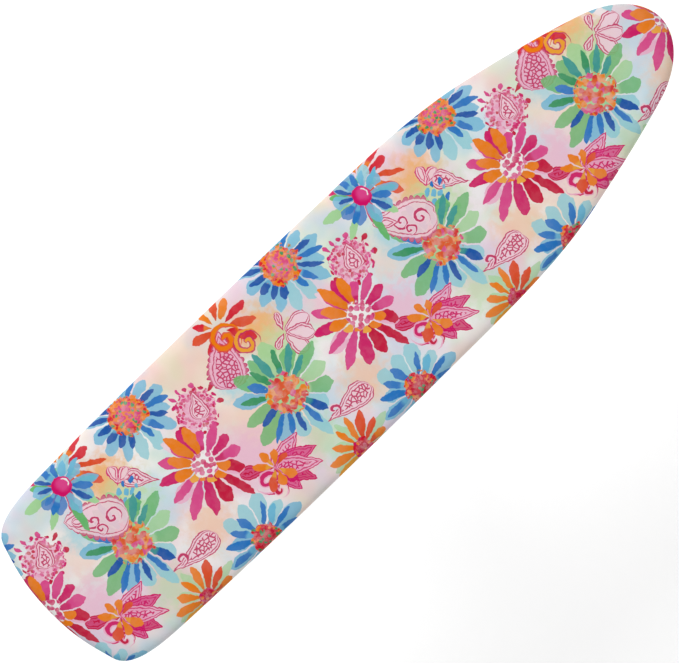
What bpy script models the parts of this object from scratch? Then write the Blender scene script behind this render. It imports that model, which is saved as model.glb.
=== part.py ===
"""Free-standing folding ironing board: a padded, covered deck on a scissor of two leg frames.

The board stands open, nose towards +X, soles at Z = 0. Metres, +Z up.
"""
import math

import bmesh
import bpy
from mathutils import Matrix, Vector

# Board top
BOARD_LENGTH = 1.372
WORK_HEIGHT = 0.900
COVER_THICKNESS = 0.001
PAD_THICKNESS = 0.008
DECK_THICKNESS = 0.0007
RIM_SIZE = 0.012
RIM_INSET = 0.0045
SHEET_WALL = 0.001
HEM_WIDTH = 0.030
ELASTIC_RADIUS = 0.0015
PAD_CLEARANCE = 0.0006
TOUCH_GAP = 0.0003

# The +Y edge of the board from the nose tip to the tail: distance from the nose, half width, heading
# (90 runs outwards, 0 towards the tail, -90 inwards), and the lengths of the handles behind and ahead.
EDGE_ANCHORS = [
    (0.000, 0.0000, 90.0, 0.000, 0.040),
    (0.092, 0.0945, 17.5, 0.058, 0.070),
    (0.300, 0.1475, 12.0, 0.070, 0.110),
    (0.640, 0.1695, 0.8, 0.120, 0.150),
    (1.225, 0.1668, -2.0, 0.150, 0.045),
    (1.351, 0.1260, -74.0, 0.040, 0.040),
    (1.372, 0.0000, -90.0, 0.060, 0.000),
]
DEGREES_PER_EDGE_STEP = 9.0

# Steam vents in the deck
VENT_RADIUS = 0.008
VENT_PITCH_X = 0.098
VENT_PITCH_Y = 0.078
VENT_EDGE = 0.034
VENT_SIDES = 8

# Under-deck sheet metal
STAY_WIDTH = 0.026
STAY_DEPTH = 0.010
REAR_STAY_X = -0.480
MIDDLE_STAY_X = -0.100
FRONT_STAY_X = 0.625
TRACK_HALF_WIDTH = 0.022
TRACK_WALL = 0.0015
TRACK_START_X = 0.155
TRACK_END_X = 0.575
TRACK_BELOW_PIVOT = 0.009
BRACKET_LENGTH = 0.034
BRACKET_BELOW_PIVOT = 0.012
BRACKET_SIDE_GAP = 0.001

# Leg scissor, seen from the side: the legs' upper halves are equal, so the sliding ends stay level
PIVOT_DROP = 0.036
HINGE_X = -0.480
UPPER_LEG = 0.520
LOWER_LEG = 0.560
FOOT_AXIS_HEIGHT = 0.013
OUTER_LEG_Y = 0.080
INNER_LEG_Y = 0.050
OUTER_TUBE_RADIUS = 0.011
INNER_TUBE_RADIUS = 0.010
TUBE_WALL = 0.0012
FOOT_BAR_RADIUS = 0.011
OUTER_FOOT_HALF = 0.110
INNER_FOOT_HALF = 0.158
LEG_PAST_HINGE = 0.014
LEG_PAST_ROD = 0.012
CAP_RADIUS = 0.015
CAP_DEPTH = 0.018
CAP_END_WALL = 0.004
OUTER_BRACE_AT = 0.800
INNER_BRACE_AT = 0.280
OUTER_BRACE_WIDTH = 0.025
OUTER_BRACE_THICKNESS = 0.003
BRACE_TUBE_RADIUS = 0.008
BRACE_COPE_DEPTH = 0.004
PIN_RADIUS = 0.004
PIN_HEAD_RADIUS = 0.0065
HINGE_PIN_HEAD = 0.0025
BOLT_HEAD = 0.004
BOLT_PAST_NUT = 0.0015
NUT_CORNER_RADIUS = 0.0075
NUT_HEIGHT = 0.005
SPACER_RADIUS = 0.008
ROD_RADIUS = 0.0045
ROD_HEAD_RADIUS = 0.007
ROD_HEAD = 0.003
BUSH_RADIUS = 0.0075
BUSH_END_GAP = 0.0006
SLOT_CLEARANCE = 0.0005

# Height latch
HEIGHT_SETTINGS = 5
HEIGHT_STEP = 0.025
LATCH_PIVOT_X = 0.430
LATCH_PIVOT_RISE = 0.016
LATCH_PLATE_THICKNESS = 0.003
LATCH_PLATE_TOP = 0.008
LATCH_PLATE_BOTTOM = -0.0085
LATCH_TOOTH_CLEARANCE = 0.0005
LATCH_TOOTH_DEPTH = 0.009
LATCH_MOUTH_EASE = 0.001
LATCH_PIN_HEAD_RADIUS = 0.005
LATCH_PIN_HEAD = 0.002
LEVER_X = 0.140
LEVER_RADIUS = 0.003
LEVER_REACH = 0.152
LEVER_BEND_RADIUS = 0.007
LEVER_CRANK_Y = 0.104
LEVER_HIGH = 0.002
LEVER_LOW = -0.032
LEVER_END_IN_GRIP = 0.006
GRIP_WIDTH = 0.024
GRIP_LENGTH = 0.038
GRIP_HEIGHT = 0.013
GRIP_BEVEL = 0.004
SPRING_X = 0.240
SPRING_COIL_RADIUS = 0.003
SPRING_WIRE_RADIUS = 0.0004
SPRING_TURNS = 3.5
SPRING_STEPS = 35

# Heights and angles that follow
DECK_UNDERSIDE = WORK_HEIGHT - COVER_THICKNESS - PAD_THICKNESS - DECK_THICKNESS - 2 * TOUCH_GAP
PIVOT_HEIGHT = DECK_UNDERSIDE - PIVOT_DROP
LEG_LENGTH = UPPER_LEG + LOWER_LEG
LEG_ANGLE = math.asin((PIVOT_HEIGHT - FOOT_AXIS_HEIGHT) / LEG_LENGTH)
CROSS_X = HINGE_X + UPPER_LEG * math.cos(LEG_ANGLE)
CROSS_HEIGHT = PIVOT_HEIGHT - UPPER_LEG * math.sin(LEG_ANGLE)
ROD_OPEN_X = HINGE_X + 2 * UPPER_LEG * math.cos(LEG_ANGLE)
ROD_FOLDED_X = HINGE_X + 2 * UPPER_LEG
FRAME_TOP = DECK_UNDERSIDE - TOUCH_GAP

SIDES = {"left": 1, "right": -1}


def clear_scene():
    """Remove every object that the scene starts with."""
    for existing in list(bpy.data.objects):
        bpy.data.objects.remove(existing, do_unlink=True)


clear_scene()
parts = bpy.data.collections.new("ironing_board")
cutters = bpy.data.collections.new("cutters")
bpy.context.scene.collection.children.link(parts)
bpy.context.scene.collection.children.link(cutters)


def finish(name, colour, metallic, roughness):
    """A plain Principled material."""
    material = bpy.data.materials.new(name)
    material.use_nodes = True
    shader = material.node_tree.nodes["Principled BSDF"]
    shader.inputs["Base Color"].default_value = (*colour, 1.0)
    shader.inputs["Metallic"].default_value = metallic
    shader.inputs["Roughness"].default_value = roughness
    return material


PRINTED_COTTON = finish("printed_cotton", (0.86, 0.83, 0.78), 0.0, 0.85)
FELT = finish("felt", (0.72, 0.70, 0.66), 0.0, 0.95)
ELASTIC = finish("elastic", (0.85, 0.84, 0.82), 0.0, 0.8)
POWDER_COAT = finish("powder_coat", (0.62, 0.64, 0.66), 0.2, 0.45)
ZINC = finish("zinc", (0.60, 0.60, 0.58), 1.0, 0.35)
SPRING_STEEL = finish("spring_steel", (0.45, 0.45, 0.46), 1.0, 0.3)
RUBBER = finish("rubber", (0.05, 0.05, 0.055), 0.0, 0.8)
NYLON = finish("nylon", (0.80, 0.80, 0.78), 0.0, 0.5)
GRIP_PLASTIC = finish("grip_plastic", (0.09, 0.10, 0.11), 0.0, 0.5)


def add_object(name, data, material, place=None, parent=None):
    """Link a new sub-part, placed by a matrix in its parent's space."""
    part = bpy.data.objects.new(name, data)
    data.materials.append(material)
    parts.objects.link(part)
    part.parent = parent
    part.matrix_local = place or Matrix.Identity(4)
    return part


def add_mesh(name, shape, material, place=None, parent=None, smooth=False):
    """Turn a bmesh into a linked sub-part."""
    mesh = bpy.data.meshes.new(name)
    shape.to_mesh(mesh)
    shape.free()
    if smooth:
        mesh.shade_smooth()
        mesh.set_sharp_from_angle(angle=math.radians(40))
    return add_object(name, mesh, material, place, parent)


def axis_empty(name, location, tilt):
    """An empty on a joint's axis, which runs along its local Y."""
    empty = bpy.data.objects.new(name, None)
    empty.empty_display_size = 0.05
    empty.location = location
    empty.rotation_euler = (0.0, tilt, 0.0)
    parts.objects.link(empty)
    return empty


def along_y(x=0.0, y=0.0, z=0.0):
    """Stand a shape made along Z on the Y axis, at a point."""
    return Matrix.Translation((x, y, z)) @ Matrix.Rotation(-math.pi / 2, 4, "X")


def along_x(x=0.0, y=0.0, z=0.0):
    """Lay a shape made along Z on the X axis, starting at a point."""
    return Matrix.Translation((x, y, z)) @ Matrix.Rotation(math.pi / 2, 4, "Y")


def cut(part, cutter):
    """Take the cutter's shape out of a part."""
    boolean = part.modifiers.new("cut_" + cutter.name, "BOOLEAN")
    boolean.operation = "DIFFERENCE"
    boolean.solver = "EXACT"
    boolean.object = cutter


def make_cutter(name, shapes, parent=None, sides=16):
    """A hidden cutting body made of (radius or size, matrix, length) pieces joined in one mesh."""
    shape = bmesh.new()
    for size, place, length in shapes:
        if isinstance(size, tuple):
            bmesh.ops.create_cube(shape, size=1.0, matrix=place @ Matrix.Diagonal((*size, 1.0)))
        else:
            bmesh.ops.create_cone(
                shape, cap_ends=True, segments=sides, radius1=size, radius2=size, depth=length, matrix=place
            )
    mesh = bpy.data.meshes.new(name)
    shape.to_mesh(mesh)
    shape.free()
    cutter = bpy.data.objects.new(name, mesh)
    cutter.parent = parent
    cutter.hide_render = True
    cutter.display_type = "WIRE"
    cutters.objects.link(cutter)
    return cutter


def edge_half():
    """Points on the +Y edge from nose tip to tail, each with its outward normal."""
    points = []
    for start, end in zip(EDGE_ANCHORS, EDGE_ANCHORS[1:]):
        headings = [math.radians(anchor[2]) for anchor in (start, end)]
        first, last = (Vector((BOARD_LENGTH / 2 - anchor[0], anchor[1])) for anchor in (start, end))
        directions = [Vector((-math.cos(heading), math.sin(heading))) for heading in headings]
        ahead = first + directions[0] * start[4]
        behind = last - directions[1] * end[3]
        steps = 3 + round(abs(start[2] - end[2]) / DEGREES_PER_EDGE_STEP)
        for step in range(steps):
            t = step / steps
            s = 1 - t
            point = first * s**3 + ahead * 3 * s * s * t + behind * 3 * s * t * t + last * t**3
            tangent = (ahead - first) * s * s + (behind - ahead) * 2 * s * t + (last - behind) * t * t
            tangent.normalize()
            points.append((point, Vector((tangent.y, -tangent.x))))
    points.append((Vector((-BOARD_LENGTH / 2, 0.0)), Vector((-1.0, 0.0))))
    return points


EDGE = edge_half()


def outline(inset):
    """The board's plan outline moved inwards, as (x, y) all the way round."""
    half = [point - normal * inset for point, normal in EDGE]
    far_side = [Vector((point.x, -point.y)) for point in reversed(half[1:-1])]
    return half + far_side


def half_width_at(x, inset=0.0):
    """The half width of the outline, or of one moved inwards, at a place along the board."""
    edge = [point - normal * inset for point, normal in EDGE]
    for before, after in zip(edge, edge[1:]):
        if after.x <= x <= before.x:
            share = (x - after.x) / (before.x - after.x)
            return after.y + (before.y - after.y) * share
    return 0.0


def loft(name, sections, material, closed_loop=False, open_end=False):
    """Rings of the outline, each at an (inset, height), skinned in order."""
    shape = bmesh.new()
    rings = []
    for inset, height in sections:
        rings.append([shape.verts.new((point.x, point.y, height)) for point in outline(inset)])
    pairs = list(zip(rings, rings[1:]))
    if closed_loop:
        pairs.append((rings[-1], rings[0]))
    count = len(rings[0])
    for upper, lower in pairs:
        for index in range(count):
            after = (index + 1) % count
            shape.faces.new((upper[index], lower[index], lower[after], upper[after]))
    if not closed_loop:
        shape.faces.new(rings[0])
        if not open_end:
            shape.faces.new(reversed(rings[-1]))
    bmesh.ops.recalc_face_normals(shape, faces=shape.faces)
    return add_mesh(name, shape, material)


def turned(name, profile, material, place, parent=None, steps=16):
    """Spin an (r, z) profile about Z; a profile that leaves the axis is closed into a ring."""
    shape = bmesh.new()
    verts = [shape.verts.new((radius, 0.0, height)) for radius, height in profile]
    for first, second in zip(verts, verts[1:]):
        shape.edges.new((first, second))
    if profile[0][0] > 0:
        shape.edges.new((verts[-1], verts[0]))
    part = add_mesh(name, shape, material, place, parent)
    screw = part.modifiers.new("turn", "SCREW")
    screw.angle = math.tau
    screw.steps = steps
    screw.render_steps = steps
    screw.use_merge_vertices = True
    screw.merge_threshold = 0.00005
    screw.use_smooth_shade = False
    return part


def ring(name, bore, radius, length, material, place, parent=None, steps=16):
    """A plain bush, washer or nut."""
    profile = [(bore, 0.0), (bore, length), (radius, length), (radius, 0.0)]
    return turned(name, profile, material, place, parent, steps)


def hex_nut(name, bore, corner_radius, height, material, place, parent):
    """A plain hexagon nut along Z from 0 to its height."""
    shape = bmesh.new()
    middle = Matrix.Translation((0.0, 0.0, height / 2))
    bmesh.ops.create_cone(
        shape, cap_ends=True, segments=6, radius1=corner_radius, radius2=corner_radius, depth=height,
        matrix=middle
    )
    nut = add_mesh(name, shape, material, place, parent)
    cut(nut, make_cutter(name + "_bore", [(bore, place @ middle, 3 * height)], parent))


def headed_pin(name, radius, grip, head_radius, head, material, place, parent=None, tail_head=True):
    """A pin along Z from 0 to grip, with a head below it and, if wanted, a riveted head above it."""
    top = [(0.0, grip + head), (head_radius, grip + head), (head_radius, grip), (radius, grip)]
    if not tail_head:
        top = [(0.0, grip), (radius, grip)]
    foot = [(radius, 0.0), (head_radius, 0.0), (head_radius, -head), (0.0, -head)]
    return turned(name, top + foot, material, place, parent)


def tube(name, radius, length, wall, material, place, parent=None, sides=16):
    """A hollow straight tube with open ends, made along Z from 0 to its length."""
    shape = bmesh.new()
    middle = Matrix.Translation((0.0, 0.0, length / 2))
    bmesh.ops.create_cone(
        shape, cap_ends=False, segments=sides, radius1=radius, radius2=radius, depth=length, matrix=middle
    )
    part = add_mesh(name, shape, material, place, parent, smooth=True)
    solidify = part.modifiers.new("wall", "SOLIDIFY")
    solidify.thickness = wall
    solidify.offset = -1.0
    solidify.use_even_offset = True
    return part


def block(name, size, material, place, parent=None, bevel=0.001, segments=1):
    """A box with its edges eased."""
    shape = bmesh.new()
    bmesh.ops.create_cube(shape, size=1.0)
    bmesh.ops.scale(shape, vec=size, verts=shape.verts)
    part = add_mesh(name, shape, material, place, parent)
    ease = part.modifiers.new("ease", "BEVEL")
    ease.width = bevel
    ease.segments = segments
    return part


def channel(name, length, width, depth, wall, material, place):
    """A folded sheet channel along X, open downwards, its back at local Z = 0."""
    half = width / 2
    section = [
        (-half, -depth),
        (-half, 0.0),
        (half, 0.0),
        (half, -depth),
        (half - wall, -depth),
        (half - wall, -wall),
        (-half + wall, -wall),
        (-half + wall, -depth),
    ]
    shape = bmesh.new()
    face = shape.faces.new([shape.verts.new((-length / 2, y, z)) for y, z in section])
    extruded = bmesh.ops.extrude_face_region(shape, geom=[face])
    moved = [item for item in extruded["geom"] if isinstance(item, bmesh.types.BMVert)]
    bmesh.ops.translate(shape, vec=(length, 0.0, 0.0), verts=moved)
    bmesh.ops.recalc_face_normals(shape, faces=shape.faces)
    return add_mesh(name, shape, material, place)


def wire(name, points, radius, material, place=None, parent=None, cyclic=False, resolution=2):
    """A round wire through points."""
    curve = bpy.data.curves.new(name, "CURVE")
    curve.dimensions = "3D"
    curve.bevel_depth = radius
    curve.bevel_resolution = resolution
    curve.use_fill_caps = not cyclic
    spline = curve.splines.new("POLY")
    spline.points.add(len(points) - 1)
    spline.use_cyclic_u = cyclic
    for target, point in zip(spline.points, points):
        target.co = (*point, 1.0)
    return add_object(name, curve, material, place, parent)


def rounded_path(corners, radius, steps=4):
    """The points of a bent wire: straight runs joined by arcs."""
    path = [corners[0]]
    for before, corner, after in zip(corners, corners[1:], corners[2:]):
        arrive = (corner - before).normalized()
        leave = (after - corner).normalized()
        bend = arrive.angle(leave)
        setback = radius * math.tan(bend / 2)
        inward = (leave - arrive).normalized()
        centre = corner + inward * (radius / math.cos(bend / 2))
        first = (corner - arrive * setback - centre).normalized()
        last = (corner + leave * setback - centre).normalized()
        for step in range(steps + 1):
            path.append(centre + first.slerp(last, step / steps) * radius)
    path.append(corners[-1])
    return path


# ---------------------------------------------------------------------------------------- the top


def make_cover():
    """The fabric cover: over the pad, round the rim and back under it to a hem."""
    underside = FRAME_TOP - RIM_SIZE - TOUCH_GAP - COVER_THICKNESS
    sections = [
        (0.006, WORK_HEIGHT),
        (0.002, WORK_HEIGHT - 0.0015),
        (0.0, WORK_HEIGHT - 0.005),
        (0.0, underside + 0.004),
        (0.003, underside),
        (HEM_WIDTH, underside),
    ]
    cover = loft("cover", sections, PRINTED_COTTON, open_end=True)
    solidify = cover.modifiers.new("cloth", "SOLIDIFY")
    solidify.thickness = COVER_THICKNESS
    solidify.offset = -1.0
    solidify.use_even_offset = True


def make_pad():
    """The felt pad between cover and deck."""
    top = WORK_HEIGHT - COVER_THICKNESS - TOUCH_GAP
    inset = COVER_THICKNESS + PAD_CLEARANCE
    sections = [(0.0075, top), (inset + 0.0025, top - 0.0015), (inset, top - 0.0045)]
    sections.append((inset, top - PAD_THICKNESS + TOUCH_GAP))
    loft("pad", sections, FELT)


def vent_centres():
    """A staggered grid of vent places, well inside the edge."""
    places = []
    columns = int(BOARD_LENGTH / VENT_PITCH_X)
    for column in range(columns):
        x = (column - (columns - 1) / 2) * VENT_PITCH_X
        stagger = (column % 2) * VENT_PITCH_Y / 2
        for row in range(-2, 3):
            y = row * VENT_PITCH_Y + stagger
            if abs(y) + VENT_EDGE < half_width_at(x) and abs(x) < BOARD_LENGTH / 2 - VENT_PITCH_X / 2:
                places.append((x, y))
    return places


def make_deck():
    """The vented steel deck and the folded rim that stiffens its edge."""
    inset = RIM_INSET
    deck = loft("deck", [(inset, DECK_UNDERSIDE + DECK_THICKNESS), (inset, DECK_UNDERSIDE)], POWDER_COAT)
    holes = []
    for x, y in vent_centres():
        holes.append((VENT_RADIUS, Matrix.Translation((x, y, DECK_UNDERSIDE)), 0.01))
    cut(deck, make_cutter("vents", holes, sides=VENT_SIDES))
    bottom = FRAME_TOP - RIM_SIZE
    section = [
        (inset, bottom),
        (inset, FRAME_TOP),
        (inset + RIM_SIZE, FRAME_TOP),
        (inset + RIM_SIZE, bottom),
        (inset + RIM_SIZE - SHEET_WALL, bottom),
        (inset + RIM_SIZE - SHEET_WALL, FRAME_TOP - SHEET_WALL),
        (inset + SHEET_WALL, FRAME_TOP - SHEET_WALL),
        (inset + SHEET_WALL, bottom),
    ]
    loft("rim_frame", section, POWDER_COAT, closed_loop=True)


def make_hem_elastic():
    """The elastic that draws the cover's hem in under the board."""
    inset = HEM_WIDTH + TOUCH_GAP + ELASTIC_RADIUS
    height = FRAME_TOP - RIM_SIZE - TOUCH_GAP - COVER_THICKNESS / 2
    points = [(point.x, point.y, height) for point in outline(inset)]
    wire("hem_elastic", points, ELASTIC_RADIUS, ELASTIC, cyclic=True, resolution=1)


def make_stays():
    """Folded cross stays that carry the deck between the rim's sides."""
    inset = RIM_INSET + RIM_SIZE + TOUCH_GAP
    for name, x in (("rear", REAR_STAY_X), ("middle", MIDDLE_STAY_X), ("front", FRONT_STAY_X)):
        ends = (x + STAY_WIDTH / 2, x - STAY_WIDTH / 2)
        reach = 2 * min(half_width_at(end, inset) for end in ends)
        place = Matrix.Translation((x, 0.0, FRAME_TOP)) @ Matrix.Rotation(math.pi / 2, 4, "Z")
        channel(name + "_cross_stay", reach, STAY_WIDTH, STAY_DEPTH, SHEET_WALL, POWDER_COAT, place)


def make_height_track():
    """The channel that the inner legs' rod slides in, with a slot through each wall."""
    length = TRACK_END_X - TRACK_START_X
    depth = FRAME_TOP - PIVOT_HEIGHT + TRACK_BELOW_PIVOT
    place = Matrix.Translation(((TRACK_START_X + TRACK_END_X) / 2, 0.0, FRAME_TOP))
    width = 2 * TRACK_HALF_WIDTH
    track = channel("height_track", length, width, depth, TRACK_WALL, POWDER_COAT, place)
    slot_start = ROD_OPEN_X - ROD_RADIUS - 2 * SLOT_CLEARANCE
    slot_end = ROD_FOLDED_X + ROD_RADIUS + 2 * SLOT_CLEARANCE
    slot = (slot_end - slot_start, 0.1, 2 * (ROD_RADIUS + SLOT_CLEARANCE))
    slot_place = Matrix.Translation(((slot_start + slot_end) / 2, 0.0, PIVOT_HEIGHT))
    pin_hole = along_y(LATCH_PIVOT_X, 0.0, PIVOT_HEIGHT + LATCH_PIVOT_RISE)
    bore = (LEVER_RADIUS + TOUCH_GAP, pin_hole, 0.1)
    cut(track, make_cutter("track_slots", [(slot, slot_place, 0.0), bore]))


def make_hinge_brackets():
    """The two clevises under the rear stay, each with the pin that a leg swings on."""
    flange_top = FRAME_TOP - STAY_DEPTH - TOUCH_GAP
    depth = flange_top - PIVOT_HEIGHT + BRACKET_BELOW_PIVOT
    cheek_gap = 2 * (OUTER_TUBE_RADIUS + BRACKET_SIDE_GAP)
    width = cheek_gap + 2 * TRACK_WALL
    for side, sign in SIDES.items():
        y = sign * OUTER_LEG_Y
        place = Matrix.Translation((HINGE_X, y, flange_top))
        name = "hinge_bracket_" + side
        bracket = channel(name, BRACKET_LENGTH, width, depth, TRACK_WALL, POWDER_COAT, place)
        bore = (PIN_RADIUS + TOUCH_GAP, along_y(HINGE_X, y, PIVOT_HEIGHT), 0.04)
        cut(bracket, make_cutter("bracket_bore_" + side, [bore]))
        grip = width + 2 * TOUCH_GAP
        pin_place = along_y(HINGE_X, y - grip / 2, PIVOT_HEIGHT)
        name = "hinge_pin_" + side
        headed_pin(name, PIN_RADIUS, grip, PIN_HEAD_RADIUS, HINGE_PIN_HEAD, ZINC, pin_place)


# --------------------------------------------------------------------------------------- the legs


def make_leg(name, radius, y, back, front, holes, saddle_x, parent):
    """A leg tube along local X, drilled across and coped where it meets its foot bar."""
    place = along_x(back, y, 0.0)
    leg = tube(name, radius, front - back, TUBE_WALL, POWDER_COAT, place, parent)
    shapes = [(hole_radius, along_y(x, y, 0.0), 0.04) for x, hole_radius in holes]
    shapes.append((FOOT_BAR_RADIUS + TOUCH_GAP, along_y(saddle_x, y, 0.0), 0.04))
    cut(leg, make_cutter(name + "_bores", shapes, parent))


def make_foot(prefix, x, half_length, level_tilt, floor, parent):
    """A foot bar across the legs with a rubber cap on each end, flat where it meets the floor."""
    bar_place = along_y(x, -half_length, 0.0)
    tube(prefix + "_foot_bar", FOOT_BAR_RADIUS, 2 * half_length, TUBE_WALL, POWDER_COAT, bar_place, parent)
    bore = FOOT_BAR_RADIUS + TOUCH_GAP
    profile = [
        (0.0, TOUCH_GAP),
        (bore, TOUCH_GAP),
        (bore, -CAP_DEPTH),
        (CAP_RADIUS - 0.001, -CAP_DEPTH),
        (CAP_RADIUS, -CAP_DEPTH + 0.001),
        (CAP_RADIUS, CAP_END_WALL - 0.002),
        (CAP_RADIUS - 0.002, CAP_END_WALL),
        (0.0, CAP_END_WALL),
    ]
    for side, sign in SIDES.items():
        level = Matrix.Rotation(level_tilt, 4, "Y")
        turn = Matrix.Rotation(-sign * math.pi / 2, 4, "X")
        place = Matrix.Translation((x, sign * half_length, 0.0)) @ level @ turn
        cap = turned(prefix + "_foot_cap_" + side, profile[::-1], RUBBER, place, parent, steps=20)
        cut(cap, floor)


def make_outer_legs(floor):
    """The outer leg frame, hinged under the tail end of the board, with the cross pivots it carries."""
    frame = axis_empty("outer_leg_axis", (HINGE_X, 0.0, PIVOT_HEIGHT), LEG_ANGLE)
    bore = PIN_RADIUS + TOUCH_GAP
    for side, sign in SIDES.items():
        y = sign * OUTER_LEG_Y
        holes = [(0.0, bore), (UPPER_LEG, bore)]
        name = "outer_leg_" + side
        make_leg(name, OUTER_TUBE_RADIUS, y, -LEG_PAST_HINGE, LEG_LENGTH, holes, LEG_LENGTH, frame)
        make_cross_pivot(side, sign, frame)
    make_foot("outer", LEG_LENGTH, OUTER_FOOT_HALF, -LEG_ANGLE, floor, frame)
    below = OUTER_TUBE_RADIUS + TOUCH_GAP + OUTER_BRACE_THICKNESS / 2
    place = Matrix.Translation((OUTER_BRACE_AT, 0.0, -below))
    size = (OUTER_BRACE_WIDTH, 2 * (OUTER_LEG_Y + OUTER_TUBE_RADIUS), OUTER_BRACE_THICKNESS)
    block("outer_leg_brace", size, POWDER_COAT, place, frame)


def make_cross_pivot(side, sign, frame):
    """The bolt, spacer and nut that join an outer leg to an inner leg where they cross."""
    outward = Matrix.Rotation(-sign * math.pi / 2, 4, "X")
    inner_face = INNER_LEG_Y - INNER_TUBE_RADIUS - TOUCH_GAP
    outer_face = OUTER_LEG_Y + OUTER_TUBE_RADIUS + TOUCH_GAP
    bolt_place = Matrix.Translation((UPPER_LEG, sign * inner_face, 0.0)) @ outward
    grip = outer_face + NUT_HEIGHT + BOLT_PAST_NUT - inner_face
    name = "pivot_bolt_" + side
    headed_pin(name, PIN_RADIUS, grip, PIN_HEAD_RADIUS, BOLT_HEAD, ZINC, bolt_place, frame, False)
    bore = PIN_RADIUS + TOUCH_GAP
    nut_place = Matrix.Translation((UPPER_LEG, sign * outer_face, 0.0)) @ outward
    hex_nut("pivot_nut_" + side, bore, NUT_CORNER_RADIUS, NUT_HEIGHT, ZINC, nut_place, frame)
    spacer_start = INNER_LEG_Y + INNER_TUBE_RADIUS + TOUCH_GAP
    spacer_length = OUTER_LEG_Y - OUTER_TUBE_RADIUS - TOUCH_GAP - spacer_start
    spacer_place = Matrix.Translation((UPPER_LEG, sign * spacer_start, 0.0)) @ outward
    ring("pivot_spacer_" + side, bore, SPACER_RADIUS, spacer_length, NYLON, spacer_place, frame)


def make_inner_legs(floor):
    """The inner leg frame, pivoted on the outer one, whose top rod slides in the height track."""
    frame = axis_empty("inner_leg_axis", (CROSS_X, 0.0, CROSS_HEIGHT), -LEG_ANGLE)
    for side, sign in SIDES.items():
        y = sign * INNER_LEG_Y
        holes = [(0.0, PIN_RADIUS + TOUCH_GAP), (UPPER_LEG, ROD_RADIUS + TOUCH_GAP)]
        name = "inner_leg_" + side
        front = UPPER_LEG + LEG_PAST_ROD
        make_leg(name, INNER_TUBE_RADIUS, y, -LOWER_LEG, front, holes, -LOWER_LEG, frame)
        bush_start = TRACK_HALF_WIDTH + BUSH_END_GAP
        bush_end = INNER_LEG_Y - INNER_TUBE_RADIUS - BUSH_END_GAP
        outward = Matrix.Rotation(-sign * math.pi / 2, 4, "X")
        place = Matrix.Translation((UPPER_LEG, sign * bush_start, 0.0)) @ outward
        bore = ROD_RADIUS + TOUCH_GAP
        ring("rod_bush_" + side, bore, BUSH_RADIUS, bush_end - bush_start, NYLON, place, frame)
    make_foot("inner", -LOWER_LEG, INNER_FOOT_HALF, LEG_ANGLE, floor, frame)
    rod_grip = 2 * (INNER_LEG_Y + INNER_TUBE_RADIUS + TOUCH_GAP)
    rod_place = along_y(UPPER_LEG, -rod_grip / 2, 0.0)
    headed_pin("slide_rod", ROD_RADIUS, rod_grip, ROD_HEAD_RADIUS, ROD_HEAD, ZINC, rod_place, frame)
    half = INNER_LEG_Y - BRACE_COPE_DEPTH
    brace_place = along_y(-INNER_BRACE_AT, -half, 0.0)
    brace = tube(
        "inner_leg_brace", BRACE_TUBE_RADIUS, 2 * half, TUBE_WALL, POWDER_COAT, brace_place, frame
    )
    cope = INNER_TUBE_RADIUS + TOUCH_GAP
    copes = []
    for sign in SIDES.values():
        copes.append((cope, along_x(-INNER_BRACE_AT, sign * INNER_LEG_Y, 0.0), 0.06))
    cut(brace, make_cutter("brace_copes", copes, frame))


# ---------------------------------------------------------------------------------- the height latch


def setting_rod_x(setting):
    """Where the sliding rod sits at a height setting, 0 being the highest."""
    rise = PIVOT_HEIGHT - FOOT_AXIS_HEIGHT - setting * HEIGHT_STEP
    return HINGE_X + 2 * UPPER_LEG * math.sqrt(1 - (rise / LEG_LENGTH) ** 2)


def make_latch_plate(pivot):
    """The notched plate that drops over the rod, as (x, z) about its own pivot."""
    tip = ROD_RADIUS + LATCH_TOOTH_CLEARANCE - LATCH_PIVOT_RISE
    roof = tip + LATCH_TOOTH_DEPTH
    top = LATCH_PLATE_TOP
    bottom = LATCH_PLATE_BOTTOM
    mouth = ROD_RADIUS + LATCH_MOUTH_EASE
    tail_x = LEVER_X - 0.010 - LATCH_PIVOT_X
    points = [(tail_x, top), (tail_x, roof - 0.003)]
    for setting in range(HEIGHT_SETTINGS):
        x = setting_rod_x(setting) - LATCH_PIVOT_X
        points += [(x - mouth - 0.004, tip)] if setting == 0 else []
        points += [(x - mouth, tip), (x - ROD_RADIUS, roof), (x + ROD_RADIUS, roof), (x + mouth, tip)]
    last_x = points[-1][0]
    points += [(last_x + 0.008, tip), (last_x + 0.03, bottom), (0.008, bottom), (0.014, -0.003)]
    points += [(0.014, top - 0.003), (0.010, top)]
    hole = [math.tau * step / 12 for step in range(12)]
    bore = LEVER_RADIUS + TOUCH_GAP
    curve = bpy.data.curves.new("latch_plate", "CURVE")
    curve.dimensions = "2D"
    curve.fill_mode = "BOTH"
    curve.extrude = LATCH_PLATE_THICKNESS / 2
    for loop in (points, [(bore * math.cos(angle), bore * math.sin(angle)) for angle in hole]):
        spline = curve.splines.new("POLY")
        spline.points.add(len(loop) - 1)
        spline.use_cyclic_u = True
        for target, (x, z) in zip(spline.points, loop):
            target.co = (x, z, 0.0, 1.0)
    add_object("latch_plate", curve, ZINC, Matrix.Rotation(math.pi / 2, 4, "X"), pivot)


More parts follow.
